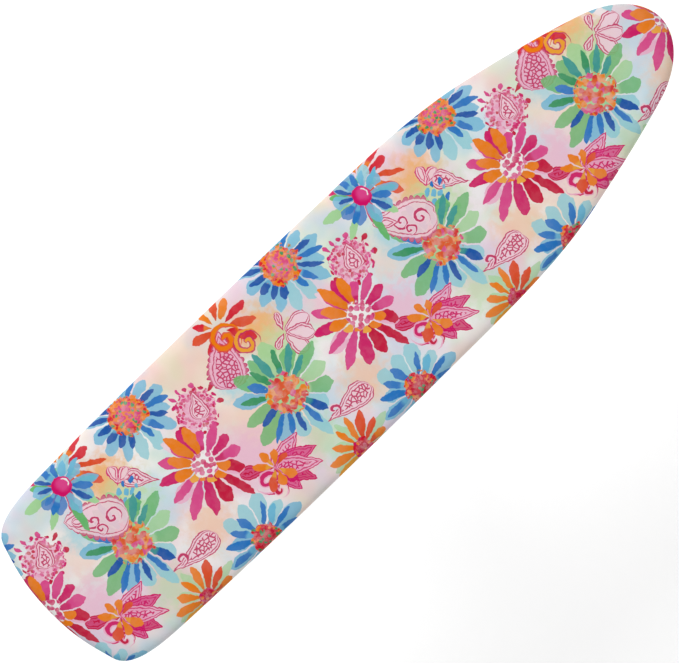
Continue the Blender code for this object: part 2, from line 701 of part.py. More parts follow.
def make_release_lever(pivot):
    """The bent wire from the latch plate out under the +Y edge, and the grip on its end."""
    x = LEVER_X - LATCH_PIVOT_X
    start_y = LATCH_PLATE_THICKNESS / 2 + TOUCH_GAP
    wire_end = LEVER_REACH - LEVER_END_IN_GRIP
    corners = [
        Vector((x, start_y, LEVER_HIGH)),
        Vector((x, LEVER_CRANK_Y, LEVER_HIGH)),
        Vector((x, LEVER_CRANK_Y, LEVER_LOW)),
        Vector((x, wire_end, LEVER_LOW)),
    ]
    path = rounded_path(corners, LEVER_BEND_RADIUS)
    wire("release_lever", path, LEVER_RADIUS, ZINC, parent=pivot)
    place = Matrix.Translation((x, LEVER_REACH - GRIP_LENGTH / 2, LEVER_LOW))
    size = (GRIP_WIDTH, GRIP_LENGTH, GRIP_HEIGHT)
    grip = block("lever_grip", size, GRIP_PLASTIC, place, pivot, GRIP_BEVEL, 2)
    socket = (LEVER_RADIUS + TOUCH_GAP, along_y(x, wire_end - 0.05 + TOUCH_GAP, LEVER_LOW), 0.1)
    cut(grip, make_cutter("grip_socket", [socket], pivot))


def make_latch():
    """The latch, hung on a pin across the height track and pressed down by a coil spring."""
    pivot_height = PIVOT_HEIGHT + LATCH_PIVOT_RISE
    pivot = axis_empty("latch_axis", (LATCH_PIVOT_X, 0.0, pivot_height), 0.0)
    make_latch_plate(pivot)
    make_release_lever(pivot)
    grip = 2 * (TRACK_HALF_WIDTH + TOUCH_GAP)
    place = along_y(LATCH_PIVOT_X, -grip / 2, pivot_height)
    name = "latch_pivot_pin"
    headed_pin(name, LEVER_RADIUS, grip, LATCH_PIN_HEAD_RADIUS, LATCH_PIN_HEAD, ZINC, place)
    make_latch_spring(pivot_height + LATCH_PLATE_TOP, FRAME_TOP - TRACK_WALL)


def make_latch_spring(bottom, top):
    """The coil spring between the latch plate and the roof of the height track."""
    start = bottom + SPRING_WIRE_RADIUS + TOUCH_GAP
    climb = top - bottom - 2 * (SPRING_WIRE_RADIUS + TOUCH_GAP)
    coil = []
    for step in range(SPRING_STEPS + 1):
        angle = math.tau * SPRING_TURNS * step / SPRING_STEPS
        across = SPRING_COIL_RADIUS * math.sin(angle)
        height = start + climb * step / SPRING_STEPS
        coil.append((SPRING_X + SPRING_COIL_RADIUS * math.cos(angle), across, height))
    wire("latch_spring", coil, SPRING_WIRE_RADIUS, SPRING_STEEL, resolution=1)


make_cover()
make_pad()
make_deck()
make_hem_elastic()
make_stays()
make_height_track()
make_hinge_brackets()
floor_plane = make_cutter("floor_plane", [((3.0, 3.0, 0.1), Matrix.Translation((0.0, 0.0, -0.05)), 0.0)])
make_outer_legs(floor_plane)
make_inner_legs(floor_plane)
make_latch()
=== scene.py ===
"""Looks for the folding ironing board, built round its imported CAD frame. Metres, +Z up."""
import math

import bmesh
import bpy
from mathutils import Matrix, Vector, noise


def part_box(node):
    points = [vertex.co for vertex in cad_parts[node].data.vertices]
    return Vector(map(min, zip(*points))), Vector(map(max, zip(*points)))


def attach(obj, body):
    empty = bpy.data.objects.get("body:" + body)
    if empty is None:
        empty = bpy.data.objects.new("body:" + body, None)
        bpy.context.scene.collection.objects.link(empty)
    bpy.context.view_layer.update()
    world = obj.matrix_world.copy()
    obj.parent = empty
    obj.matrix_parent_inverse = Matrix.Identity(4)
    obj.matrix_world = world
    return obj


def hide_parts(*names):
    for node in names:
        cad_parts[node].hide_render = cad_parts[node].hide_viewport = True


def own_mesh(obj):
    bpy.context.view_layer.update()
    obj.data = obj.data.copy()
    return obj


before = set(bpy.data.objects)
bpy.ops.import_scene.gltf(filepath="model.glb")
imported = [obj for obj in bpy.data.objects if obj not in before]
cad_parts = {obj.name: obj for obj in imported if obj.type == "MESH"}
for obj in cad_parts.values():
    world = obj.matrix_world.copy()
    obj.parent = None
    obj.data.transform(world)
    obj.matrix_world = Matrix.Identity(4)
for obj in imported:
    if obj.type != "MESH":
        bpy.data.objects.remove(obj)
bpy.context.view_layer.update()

# ------------------------------------------------------------------------------------ driving sizes

BOARD_LOW, BOARD_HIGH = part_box("cover")
BOARD_LENGTH = BOARD_HIGH.x - BOARD_LOW.x
COVER_TOP = BOARD_HIGH.z
DECK_LOW, DECK_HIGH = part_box("deck")
RIM_INSET = BOARD_HIGH.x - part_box("rim_frame")[1].x
SIDES = (("left", 1), ("right", -1))


def middle_of(*nodes):
    """The middle of the boxes of several CAD nodes, in a line across the board."""
    corners = [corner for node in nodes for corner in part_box(node)]
    return sum(corners, Vector()) / len(corners)


HINGE = middle_of("hinge_pin_left", "hinge_pin_right")
CROSS = middle_of("pivot_spacer_left", "pivot_spacer_right")
LEG_ANGLE = math.atan2(HINGE.z - CROSS.z, CROSS.x - HINGE.x)
UPPER_LEG = (CROSS - HINGE).length
FOOT = middle_of("outer_foot_bar")
LEG_LENGTH = (FOOT - HINGE).length
LOWER_LEG = LEG_LENGTH - UPPER_LEG
OUTER_LEG_Y, INNER_LEG_Y = 0.080, 0.050
OUTER_TUBE_RADIUS, INNER_TUBE_RADIUS, FOOT_BAR_RADIUS = 0.011, 0.010, 0.011
OUTER_FOOT_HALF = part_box("outer_foot_bar")[1].y
INNER_FOOT_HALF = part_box("inner_foot_bar")[1].y
PIN_RADIUS, ROD_RADIUS = 0.004, 0.0045
DECK_GREY = (0.60, 0.615, 0.63)
LEG_GREY = (0.64, 0.655, 0.67)
SPRING_GREY = (0.42, 0.42, 0.43)

# The plan outline on the +Y side, as the CAD has it: distance from the nose, half width, heading of the
# edge (90 outwards, 0 towards the tail), and the handle lengths behind and ahead
EDGE_ANCHORS = [
    (0.000, 0.0000, 90.0, 0.000, 0.040),
    (0.092, 0.0945, 17.5, 0.058, 0.070),
    (0.300, 0.1475, 12.0, 0.070, 0.110),
    (0.640, 0.1695, 0.8, 0.120, 0.150),
    (1.225, 0.1668, -2.0, 0.150, 0.045),
    (1.351, 0.1260, -74.0, 0.040, 0.040),
    (1.372, 0.0000, -90.0, 0.060, 0.000),
]
EDGE_SPACING = 0.005

# The cloth's section from the flat top over the edge and under: (inset from the outline, drop from top)
COVER_SECTION = [
    (0.033, 0.0),
    (0.029, 0.0),
    (0.025, 0.0003),
    (0.0195, 0.0009),
    (0.0145, 0.0019),
    (0.0102, 0.0033),
    (0.0068, 0.0050),
    (0.0041, 0.0070),
    (0.0020, 0.0094),
    (0.0008, 0.0120),
    (0.0004, 0.0148),
    (0.0008, 0.0176),
    (0.0019, 0.0202),
    (0.0038, 0.0224),
    (0.0064, 0.0238),
    (0.0098, 0.0243),
]
CLOTH_THICKNESS = 0.0007
CLOTH_TOP = COVER_TOP - 0.0006
PAD_INSET = 0.0044
HEM_INSET = 0.034

# The picture's upright lies this far round from the board's length
PRINT_TILT = math.radians(44.1)


# ------------------------------------------------------------------------------------ mesh helpers


def linked(name, data):
    """An object in the scene."""
    obj = bpy.data.objects.new(name, data)
    bpy.context.scene.collection.objects.link(obj)
    return obj


def add_mesh(name, verts, faces, smooth=True):
    """A mesh object from points and faces."""
    mesh = bpy.data.meshes.new(name)
    mesh.from_pydata(verts, [], faces)
    mesh.update()
    if smooth:
        mesh.shade_smooth()
    return linked(name, mesh)


def weld_points(obj, distance=1e-6):
    """Join points that lie together, and turn the faces outwards."""
    shape = bmesh.new()
    shape.from_mesh(obj.data)
    bmesh.ops.remove_doubles(shape, verts=shape.verts, dist=distance)
    bmesh.ops.recalc_face_normals(shape, faces=shape.faces)
    shape.to_mesh(obj.data)
    shape.free()


def finish_piece(obj, body, nodes, material):
    """Give a piece its material and its place in the frame."""
    obj.data.materials.append(material)
    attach(obj, body)
    if nodes:
        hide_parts(*nodes)
    return obj


def dense_half():
    """Closely spaced points along the +Y half of the plan outline, from the nose to the tail."""
    steps = 80
    dense = []
    for start, end in zip(EDGE_ANCHORS, EDGE_ANCHORS[1:]):
        headings = [math.radians(anchor[2]) for anchor in (start, end)]
        first, last = (Vector((BOARD_LENGTH / 2 - anchor[0], anchor[1])) for anchor in (start, end))
        leave, arrive = (Vector((-math.cos(heading), math.sin(heading))) for heading in headings)
        ahead = first + leave * start[4]
        behind = last - arrive * end[3]
        for step in range(steps):
            t = step / steps
            s = 1 - t
            dense.append(first * s**3 + ahead * 3 * s * s * t + behind * 3 * s * t * t + last * t**3)
    dense.append(Vector((-BOARD_LENGTH / 2, 0.0)))
    return dense


def edge_points():
    """Points round the whole plan outline, about EDGE_SPACING apart, each with its outward normal."""
    dense = dense_half()
    travelled = [0.0]
    for before, after in zip(dense, dense[1:]):
        travelled.append(travelled[-1] + (after - before).length)
    count = round(travelled[-1] / EDGE_SPACING)
    half = []
    place = 0
    for step in range(count + 1):
        target = travelled[-1] * step / count
        while travelled[place + 1] < target and place < len(dense) - 2:
            place += 1
        share = (target - travelled[place]) / (travelled[place + 1] - travelled[place])
        half.append(dense[place].lerp(dense[place + 1], share))
    ring = half + [Vector((point.x, -point.y)) for point in reversed(half[1:-1])]
    pairs = []
    for index, point in enumerate(ring):
        along = ring[(index + 1) % len(ring)] - ring[index - 1]
        pairs.append((point, Vector((along.y, -along.x)).normalized()))
    return pairs


EDGE = edge_points()
EDGE_COUNT = len(EDGE)


def numbered_rows(rows, sides):
    """The numbers of vertices that were laid down row by row."""
    return [range(row * sides, (row + 1) * sides) for row in range(rows)]


def skin(rings, closed=False):
    """Quads between rings of equal length, as faces of vertex numbers."""
    count = len(rings[0])
    pairs = list(zip(rings, rings[1:]))
    if closed:
        pairs.append((rings[-1], rings[0]))
    faces = []
    for upper, lower in pairs:
        for index in range(count):
            after = (index + 1) % count
            faces.append((upper[index], lower[index], lower[after], upper[after]))
    return faces


def spine_point(point):
    """The place on the board's long axis that a ring point is drawn in towards."""
    reach = BOARD_LENGTH / 2
    return Vector((min(max(point.x, -reach + 0.12), reach - 0.10), 0.0))


# ------------------------------------------------------------------------------ shader arithmetic


class Value:
    """A shader socket that ordinary arithmetic extends, one Math node for each step."""

    def __init__(self, tree, socket):
        self.tree = tree
        self.socket = socket

    def math(self, operation, *others):
        node = self.tree.nodes.new("ShaderNodeMath")
        node.operation = operation
        for slot, value in zip(node.inputs, (self, *others)):
            feed(self.tree, slot, value)
        return Value(self.tree, node.outputs[0])

    def __add__(self, other):
        return self.math("ADD", other)

    def __sub__(self, other):
        return self.math("SUBTRACT", other)

    def __rsub__(self, other):
        return (self * -1.0).math("ADD", other)

    def __mul__(self, other):
        return self.math("MULTIPLY", other)

    def __truediv__(self, other):
        return self.math("DIVIDE", other)

    def __pow__(self, other):
        return self.math("POWER", other)

    __radd__ = __add__
    __rmul__ = __mul__

    def ramp(self, low, high, out_low=0.0, out_high=1.0):
        """A smooth step from out_low at low to out_high at high."""
        node = self.tree.nodes.new("ShaderNodeMapRange")
        node.interpolation_type = "SMOOTHSTEP"
        node.clamp = False
        for slot, value in zip(node.inputs, (self, low, high, out_low, out_high)):
            feed(self.tree, slot, value)
        return Value(self.tree, node.outputs[0])


def feed(tree, slot, value):
    """Link a Value into a socket, or set the socket to a plain number or colour."""
    if isinstance(value, Value):
        tree.links.new(value.socket, slot)
    elif isinstance(value, tuple):
        slot.default_value = (*value, 1.0) if slot.type == "RGBA" else value
    else:
        slot.default_value = value


def mix(tree, factor, first, second, how="MIX"):
    """The second colour over the first."""
    node = tree.nodes.new("ShaderNodeMix")
    node.data_type = "RGBA"
    node.blend_type = how
    for slot, value in ((node.inputs[0], factor), (node.inputs[6], first), (node.inputs[7], second)):
        feed(tree, slot, value)
    return Value(tree, node.outputs[2])


def vector(tree, x, y, z=0.0):
    """Three values as one vector."""
    node = tree.nodes.new("ShaderNodeCombineXYZ")
    for slot, value in zip(node.inputs, (x, y, z)):
        feed(tree, slot, value)
    return Value(tree, node.outputs[0])


def parts_of(tree, value, colour=False):
    """The three parts of a vector or a colour."""
    node = tree.nodes.new("ShaderNodeSeparateColor" if colour else "ShaderNodeSeparateXYZ")
    feed(tree, node.inputs[0], value)
    return [Value(tree, output) for output in node.outputs]


def noise_value(tree, where, scale, detail=2.0, roughness=0.5, flat=True):
    """Soft noise from 0 to 1."""
    node = tree.nodes.new("ShaderNodeTexNoise")
    node.noise_dimensions = "2D" if flat else "3D"
    feed(tree, node.inputs["Vector"], where)
    node.inputs["Scale"].default_value = scale
    node.inputs["Detail"].default_value = detail
    node.inputs["Roughness"].default_value = roughness
    return Value(tree, node.outputs["Fac"])


def new_group(name, numbers, colours=(), out="NodeSocketColor"):
    """A node group whose inputs are named numbers and colours, and whose one output is a colour."""
    tree = bpy.data.node_groups.new(name, "ShaderNodeTree")
    for label in colours:
        tree.interface.new_socket(label, in_out="INPUT", socket_type="NodeSocketColor")
    for label in numbers:
        tree.interface.new_socket(label, in_out="INPUT", socket_type="NodeSocketFloat")
    tree.interface.new_socket("Out", in_out="OUTPUT", socket_type=out)
    entry = tree.nodes.new("NodeGroupInput")
    inputs = {label: Value(tree, entry.outputs[label]) for label in (*colours, *numbers)}
    return tree, inputs


def close_group(tree, result):
    """Send a group's result out."""
    tree.links.new(result.socket, tree.nodes.new("NodeGroupOutput").inputs[0])
    return tree


def use(tree, group, **settings):
    """Put a group to work and give back its first output."""
    node = tree.nodes.new("ShaderNodeGroup")
    node.node_tree = group
    for label, value in settings.items():
        feed(tree, node.inputs[label], value)
    return Value(tree, node.outputs[0])


def srgb(red, green, blue):
    """A display colour, 0 to 255, as linear light."""
    light = []
    for part in (red, green, blue):
        share = part / 255
        light.append(share / 12.92 if share <= 0.04045 else ((share + 0.055) / 1.055) ** 2.4)
    return tuple(light)


# ------------------------------------------------------------------------------- the printed cloth

BLUE = srgb(40, 122, 200)
DEEP_BLUE = srgb(22, 88, 172)
SKY = srgb(112, 190, 222)
AQUA = srgb(150, 212, 222)
GREEN = srgb(104, 188, 110)
PALE_GREEN = srgb(168, 218, 156)
DEEP_GREEN = srgb(48, 152, 96)
TEAL = srgb(66, 160, 152)
ORANGE = srgb(244, 130, 10)
AMBER = srgb(246, 170, 52)
RED_ORANGE = srgb(230, 78, 34)
RED = srgb(220, 18, 46)
MAGENTA = srgb(214, 16, 104)
PINK = srgb(226, 72, 142)
CRIMSON = srgb(204, 4, 60)
PALE_PINK = srgb(244, 178, 206)
BLUSH = srgb(250, 214, 226)
WHITE = srgb(250, 248, 245)
COTTON_SHADE = (0.90, 0.90, 0.90)
LINE_PINK = srgb(200, 48, 100)

HALF_REPEAT = 0.345
EDGE_FLOWER_REPEAT = 0.670


def make_petals():
    """A ring of brush-stroke petals round a point."""
    numbers = (
        "U", "V", "Bloom", "Count", "Reach", "Hub", "Width", "Turn", "Seed", "Lean", "Missing", "Opacity"
    )
    tree, get = new_group("petals", numbers, ("Base", "A", "B", "C", "D"))
    u, v, count, hub = get["U"], get["V"], get["Count"], get["Hub"]
    radius = (u * u + v * v).math("SQRT") + 0.0001
    spot = (v.math("ARCTAN2", u) / math.tau + get["Turn"]) * count
    whole = spot.math("FLOOR")
    ticket = whole.math("FLOORED_MODULO", count) + get["Seed"] * 41.0
    dice = tree.nodes.new("ShaderNodeTexWhiteNoise")
    dice.noise_dimensions = "1D"
    feed(tree, dice.inputs["W"], ticket)
    pick, long, fat = parts_of(tree, Value(tree, dice.outputs["Color"]), colour=True)
    middle = spot - whole - 0.5
    pitch = radius * math.tau / count
    reach = get["Reach"] * (long * 0.32 + 0.76) * (get["Lean"] * v / radius + 1.0)
    along = ((radius - hub) / (reach - hub)).math("MAXIMUM", 0.0).math("MINIMUM", 1.0)
    half = get["Width"] * get["Reach"] * (fat * 0.5 + 0.75) * 2.75 / count
    body = half * 1.15 * along**0.75 * (1.0 - along * along) ** 0.65
    body = body - (middle + (pick - 0.5) * 0.22).math("ABSOLUTE") * pitch
    seam = (0.5 - middle.math("ABSOLUTE")) * pitch - 0.0006
    depth = body.math("MINIMUM", seam)
    inside = depth.ramp(0.0, 0.0011) * (long * 5.7).math("FRACT").math("GREATER_THAN", get["Missing"])
    rim = depth.ramp(0.0003, 0.0016, 1.0, 0.0)
    heading = ((whole + 0.5) / count - get["Turn"]) * math.tau
    order = pick * 0.42 + 0.29 - (heading - 0.25).math("SINE") * 0.20
    upper = mix(tree, order.math("GREATER_THAN", 0.28), get["A"], get["B"])
    lower = mix(tree, order.math("GREATER_THAN", 0.72), get["C"], get["D"])
    colour = mix(tree, order.math("GREATER_THAN", 0.5), upper, lower)
    other = along.ramp(0.34, 0.46, 1.0, 0.0) * (fat * 3.3).math("FRACT").math("GREATER_THAN", 0.55)
    colour = mix(tree, other * 0.9, colour, get["A"])
    tint = get["Bloom"] * 0.03 + along * (pick * 3.7).math("FRACT") * 0.05
    colour = mix(tree, tint, colour, WHITE)
    shade = rim * 0.12 + (1.0 - along) ** 2.0 * 0.24
    colour = mix(tree, shade, colour, mix(tree, 1.0, colour, (0.45, 0.42, 0.5), "MULTIPLY"))
    return close_group(tree, mix(tree, inside * get["Opacity"], get["Base"], colour))


def make_heart():
    """A flower's middle: a wobbly disc with a crowd of coloured dots."""
    numbers = ("U", "V", "Bloom", "Dots", "Pick", "Radius", "Fill", "Opacity")
    tree, get = new_group("heart", numbers, ("Base", "Ground", "A", "B", "C", "Fleck"))
    u, v, pick = get["U"], get["V"], get["Pick"]
    radius = (u * u + v * v).math("SQRT") / get["Radius"] + (get["Bloom"] - 0.5) * 0.25
    disc = radius.ramp(0.92, 1.0, 1.0, 0.0)
    dot = get["Dots"].ramp(get["Fill"] * 0.8, get["Fill"], 1.0, 0.0)
    colour = mix(tree, pick.math("GREATER_THAN", 0.45), get["A"], get["B"])
    colour = mix(tree, radius.ramp(0.50, 0.62, 0.92, 0.0), colour, get["C"])
    colour = mix(tree, pick.math("GREATER_THAN", 0.84), colour, get["Fleck"])
    colour = mix(tree, get["Bloom"] * 0.25, colour, WHITE)
    ground = mix(tree, disc * get["Opacity"], get["Base"], get["Ground"])
    return close_group(tree, mix(tree, disc * dot * 0.94, ground, colour))


def make_bead():
    """A round painted bead with a bright spot."""
    tree, get = new_group("bead", ("U", "V", "Radius"), ("Base", "A", "B"))
    u, v = get["U"], get["V"]
    radius = (u * u + v * v).math("SQRT") / get["Radius"]
    beside, above = u / get["Radius"] - 0.15, v / get["Radius"] - 0.25
    shine = (beside * beside + above * above).math("SQRT")
    colour = mix(tree, shine.ramp(0.30, 0.95), get["B"], get["A"])
    crescent = shine.ramp(0.34, 0.40) * shine.ramp(0.46, 0.52, 1.0, 0.0) * (beside + above).ramp(0.1, 0.3)
    colour = mix(tree, crescent, colour, WHITE)
    return close_group(tree, mix(tree, radius.ramp(0.92, 1.0, 1.0, 0.0), get["Base"], colour))


def make_drop():
    """A teardrop drawn in outline, pointed below, with an inner line and a scribbled core."""
    numbers = ("U", "V", "Scribble", "Length", "Width", "Taper", "Bend", "Scallop", "Core")
    tree, get = new_group("drop", numbers, ("Base", "Ground", "Line"))
    v = get["V"]
    share = (v / get["Length"] + 0.5).math("MAXIMUM", 0.0).math("MINIMUM", 1.0)
    bent = (get["U"] + get["Bend"] * (1.0 - share) ** 2.0).math("ABSOLUTE")
    half = get["Width"] * share ** get["Taper"] * (1.0 - share**4.0) ** 0.5
    lumps = (v / get["Length"] * 32.0).math("SINE").math("ABSOLUTE").math("SQRT") * get["Scallop"]
    depth = half * (1.0 + lumps) - bent
    inner = half - bent
    inside = depth.ramp(0.0, 0.0008)
    outline = inside * depth.ramp(0.0020, 0.0027, 1.0, 0.0)
    ridge = inner.ramp(0.0040, 0.0047) * inner.ramp(0.0058, 0.0065, 1.0, 0.0)
    core = inner.ramp(0.0085, 0.0095) * get["Scribble"] * get["Core"]
    rough = lumps.ramp(0.02, 0.08) * inner.ramp(-0.001, 0.001, 1.0, 0.0) * inside
    colour = mix(tree, inside * 0.86, get["Base"], get["Ground"])
    lines = outline.math("MAXIMUM", ridge * 0.9).math("MAXIMUM", core).math("MAXIMUM", rough * 0.8)
    return close_group(tree, mix(tree, lines * 0.92, colour, get["Line"]))


def make_curl():
    """A spiral brush line."""
    numbers = ("U", "V", "Radius", "Pitch")
    tree, get = new_group("curl", numbers, ("Base", "Line", "Edge"))
    u, v = get["U"], get["V"]
    radius = (u * u + v * v).math("SQRT")
    winding = (v.math("ARCTAN2", u) / math.tau + radius / get["Pitch"]).math("FRACT")
    off = (winding - 0.5).math("ABSOLUTE")
    disc = radius.ramp(get["Radius"] * 0.94, get["Radius"], 1.0, 0.0)
    colour = mix(tree, off.ramp(0.26, 0.32, 1.0, 0.0) * disc * 0.9, get["Base"], get["Edge"])
    return close_group(tree, mix(tree, off.ramp(0.13, 0.19, 1.0, 0.0) * disc * 0.95, colour, get["Line"]))


def make_wash():
    """A soft stain of thinned colour."""
    numbers = ("U", "V", "Bloom", "Radius", "Opacity")
    tree, get = new_group("wash", numbers, ("Base", "Stain"))
    u, v = get["U"], get["V"]
    radius = (u * u + v * v).math("SQRT") + (get["Bloom"] - 0.5) * get["Radius"] * 0.25
    cover = radius.ramp(get["Radius"] * 0.15, get["Radius"], 1.0, 0.0) * get["Opacity"]
    return close_group(tree, mix(tree, cover, get["Base"], get["Stain"]))


def make_place():
    """Where the cloth lies from the nearest repeat of a motif, and which repeat that is."""
    numbers = ("X", "Y", "CentreX", "CentreY", "Repeat", "Tilt")
    tree, get = new_group("place", numbers, out="NodeSocketVector")
    run = get["X"] - get["CentreX"]
    cell = (run / get["Repeat"] + 0.5).math("FLOOR")
    dx = run - cell * get["Repeat"]
    dy = get["Y"] - get["CentreY"]
    cosine, sine = get["Tilt"].math("COSINE"), get["Tilt"].math("SINE")
    odd = cell.math("FLOORED_MODULO", 2.0)
    return close_group(tree, vector(tree, dx * cosine - dy * sine, dx * sine + dy * cosine, odd))


class Print:
    """The painted floral, built up in layers from the ground colour.

    Every texture lookup feeds the coordinates that the motifs are placed by. Cycles then finishes the
    lookups before it starts on the motifs, and its stack of live values stays short.
    """

    def __init__(self, tree, cloth):
        self.tree = tree
        self.petals, self.heart, self.bead = make_petals(), make_heart(), make_bead()
        self.drop, self.curl, self.wash, self.place = make_drop(), make_curl(), make_wash(), make_place()
        raw_x, raw_y, _ = parts_of(tree, cloth)
        plain = vector(tree, raw_x, raw_y)
        wander = self.paint_ground(plain)
        push = noise_value(tree, plain, 70.0, 2.0)
        pull = noise_value(tree, vector(tree, raw_y, raw_x), 60.0, 2.0)
        x = raw_x + (push - 0.5) * 0.0060 + wander * 0.003
        y = raw_y + (pull - 0.5) * 0.0060 - wander * 0.003
        warped = vector(tree, x, y)
        self.bloom = noise_value(tree, warped, 70.0, 3.0, 0.55).ramp(0.36, 0.66)
        crackle = self.cells(warped, 150.0, "DISTANCE_TO_EDGE")
        self.scribble = Value(tree, crackle["Distance"]).ramp(0.12, 0.20, 1.0, 0.0)
        self.dots, self.pick = self.scatter(warped, 108.0)
        self.fine_dots, self.fine_pick = self.scatter(warped, 185.0)
        self.x = x + (self.bloom + self.dots + self.pick) * 0.0003
        self.y = y + (self.scribble + self.fine_dots + self.fine_pick) * 0.0003

    def scatter(self, where, scale):
        """Scattered dots: the distance from the nearest one's middle, and its random number."""
        outputs = self.cells(where, scale, "F1")
        pick = parts_of(self.tree, Value(self.tree, outputs["Color"]), colour=True)[0]
        return Value(self.tree, outputs["Distance"]), pick

    def cells(self, where, scale, feature):
        """The outputs of a scatter of cells."""
        node = self.tree.nodes.new("ShaderNodeTexVoronoi")
        node.voronoi_dimensions = "2D"
        node.feature = feature
        node.inputs["Scale"].default_value = scale
        feed(self.tree, node.inputs["Vector"], where)
        return node.outputs

    def paint_ground(self, plain):
        """Cotton white under broad pastel stains; gives back the sum of the stains' own noise."""
        stains = (
            (6.4, 21.7, srgb(206, 236, 200), 0.70),
            (5.2, 0.0, srgb(247, 205, 218), 0.90),
            (4.6, 7.3, srgb(252, 214, 184), 0.55),
            (5.8, 13.1, srgb(196, 226, 240), 0.75),
            (5.0, 33.9, srgb(232, 216, 238), 0.55),
        )
        self.colour = WHITE
        total = -0.5 * len(stains)
        for scale, shift, stain, strength in stains:
            moved = self.tree.nodes.new("ShaderNodeVectorMath")
            moved.operation = "ADD"
            feed(self.tree, moved.inputs[0], plain)
            moved.inputs[1].default_value = (shift, shift, 0.0)
            patch = noise_value(self.tree, Value(self.tree, moved.outputs[0]), scale, 3.0, 0.62)
            self.colour = mix(self.tree, patch.ramp(0.46, 0.68) * strength, self.colour, stain)
            total = patch + total
        return total

    def at(self, x, y, repeat=HALF_REPEAT, turn=0.0):
        """A motif's own upright coordinates, and whether its repeat is an odd one."""
        spot = use(
            self.tree, self.place, X=self.x, Y=self.y, CentreX=x, CentreY=y,
            Repeat=repeat, Tilt=PRINT_TILT + math.radians(turn)
        )
        return parts_of(self.tree, spot)

    def beside(self, x, y, out, turn, repeat=HALF_REPEAT):
        """The coordinates of a motif set a distance out from a point, and turned, clockwise."""
        heading = PRINT_TILT + math.radians(turn)
        return self.at(x + out * math.sin(heading), y + out * math.cos(heading), repeat, turn)

    def add_petals(self, spot, colours, count, reach, hub, **extra):
        """Paint a ring of petals."""
        settings = {"Width": 1.0, "Turn": 0.0, "Seed": 1.0, "Lean": 0.0, "Missing": 0.0, "Opacity": 0.99}
        settings.update(extra)
        settings.update(zip("ABCD", colours))
        self.colour = use(
            self.tree, self.petals, Base=self.colour, U=spot[0], V=spot[1], Bloom=self.bloom,
            Count=float(count), Reach=reach, Hub=hub, **settings
        )

    def add_heart(self, spot, radius, ground, colours, fleck, fill=0.62, opacity=0.9, fine=True):
        """Paint a flower's middle."""
        dots, pick = (self.fine_dots, self.fine_pick) if fine else (self.dots, self.pick)
        self.colour = use(
            self.tree, self.heart, Base=self.colour, U=spot[0], V=spot[1], Bloom=self.bloom, Dots=dots,
            Pick=pick, Radius=radius, Fill=fill, Opacity=opacity, Ground=ground, Fleck=fleck,
            **dict(zip("ABC", colours))
        )

    def add_bead(self, spot, radius, dark, light):
        """Paint a round bead."""
        self.colour = use(
            self.tree, self.bead, Base=self.colour, U=spot[0], V=spot[1], Radius=radius, A=dark, B=light
        )

    def add_drop(self, spot, length, width, ground=BLUSH, line=LINE_PINK, **extra):
        """Draw a teardrop."""
        settings = {"Taper": 0.85, "Bend": 0.0, "Scallop": 0.0, "Core": 1.0}
        settings.update(extra)
        self.colour = use(
            self.tree, self.drop, Base=self.colour, U=spot[0], V=spot[1], Scribble=self.scribble,
            Length=length, Width=width, Ground=ground, Line=line, **settings
        )

    def add_curl(self, spot, radius, pitch, line=LINE_PINK, edge=BLUSH):
        """Draw a spiral."""
        self.colour = use(
            self.tree, self.curl, Base=self.colour, U=spot[0], V=spot[1], Radius=radius, Pitch=pitch,
            Line=line, Edge=edge
        )

    def add_wash(self, x, y, radius, stain, opacity, repeat=HALF_REPEAT):
        """Stain the ground."""
        spot = self.at(x, y, repeat)
        self.colour = use(
            self.tree, self.wash, Base=self.colour, U=spot[0], V=spot[1], Bloom=self.bloom,
            Radius=radius, Opacity=opacity, Stain=stain
        )

    def two_layer_daisy(self, spot, colours, pale, count, reach, hub, seed, lean=0.0):
        """A daisy of pale broad petals under fewer strong narrow ones."""
        self.add_petals(
            spot, pale, count - 3, reach, hub * 0.5, Width=1.40, Seed=seed + 5.0, Lean=lean, Opacity=0.86
        )
        self.add_petals(
            spot, colours, count, reach * 0.90, hub * 0.7, Width=0.90, Turn=0.02, Seed=seed, Lean=lean,
            Missing=0.25
        )


def paint_washes(cloth):
    """Stains that belong to the motifs."""
    cloth.add_wash(-0.125, 0.086, 0.066, srgb(248, 184, 118), 0.95)
    cloth.add_wash(0.100, 0.030, 0.060, srgb(252, 220, 196), 0.55)
    cloth.add_wash(-0.055, -0.080, 0.065, srgb(250, 202, 170), 0.75)
    cloth.add_wash(0.060, -0.045, 0.070, srgb(244, 196, 216), 0.85)
    cloth.add_wash(0.130, 0.055, 0.045, srgb(176, 222, 232), 0.85)
    cloth.add_wash(0.225, 0.040, 0.065, srgb(196, 230, 176), 0.75)
    cloth.add_wash(-0.170, -0.110, 0.060, srgb(190, 226, 170), 0.60)


def paint_line_motifs(cloth):
    """The pink drawn motifs between the flowers, at every repeat."""
    blob = cloth.at(0.056, 0.067, turn=-15.0)
    cloth.add_heart(blob, 0.034, PALE_PINK, (PINK, MAGENTA, PALE_PINK), CRIMSON, 0.56, 0.75)
    fringe = (PINK, MAGENTA, CRIMSON, MAGENTA)
    cloth.add_petals(blob, fringe, 19, 0.047, 0.034, Width=1.1, Seed=31.0, Missing=0.3)
    cloth.add_drop(cloth.at(0.062, 0.072, turn=160.0), 0.046, 0.026)
    cloth.add_drop(cloth.at(-0.108, -0.103, turn=34.0), 0.096, 0.038, Taper=1.4, Bend=0.022)
    cloth.add_curl(cloth.beside(-0.108, -0.103, 0.026, -98.0), 0.012, 0.014)


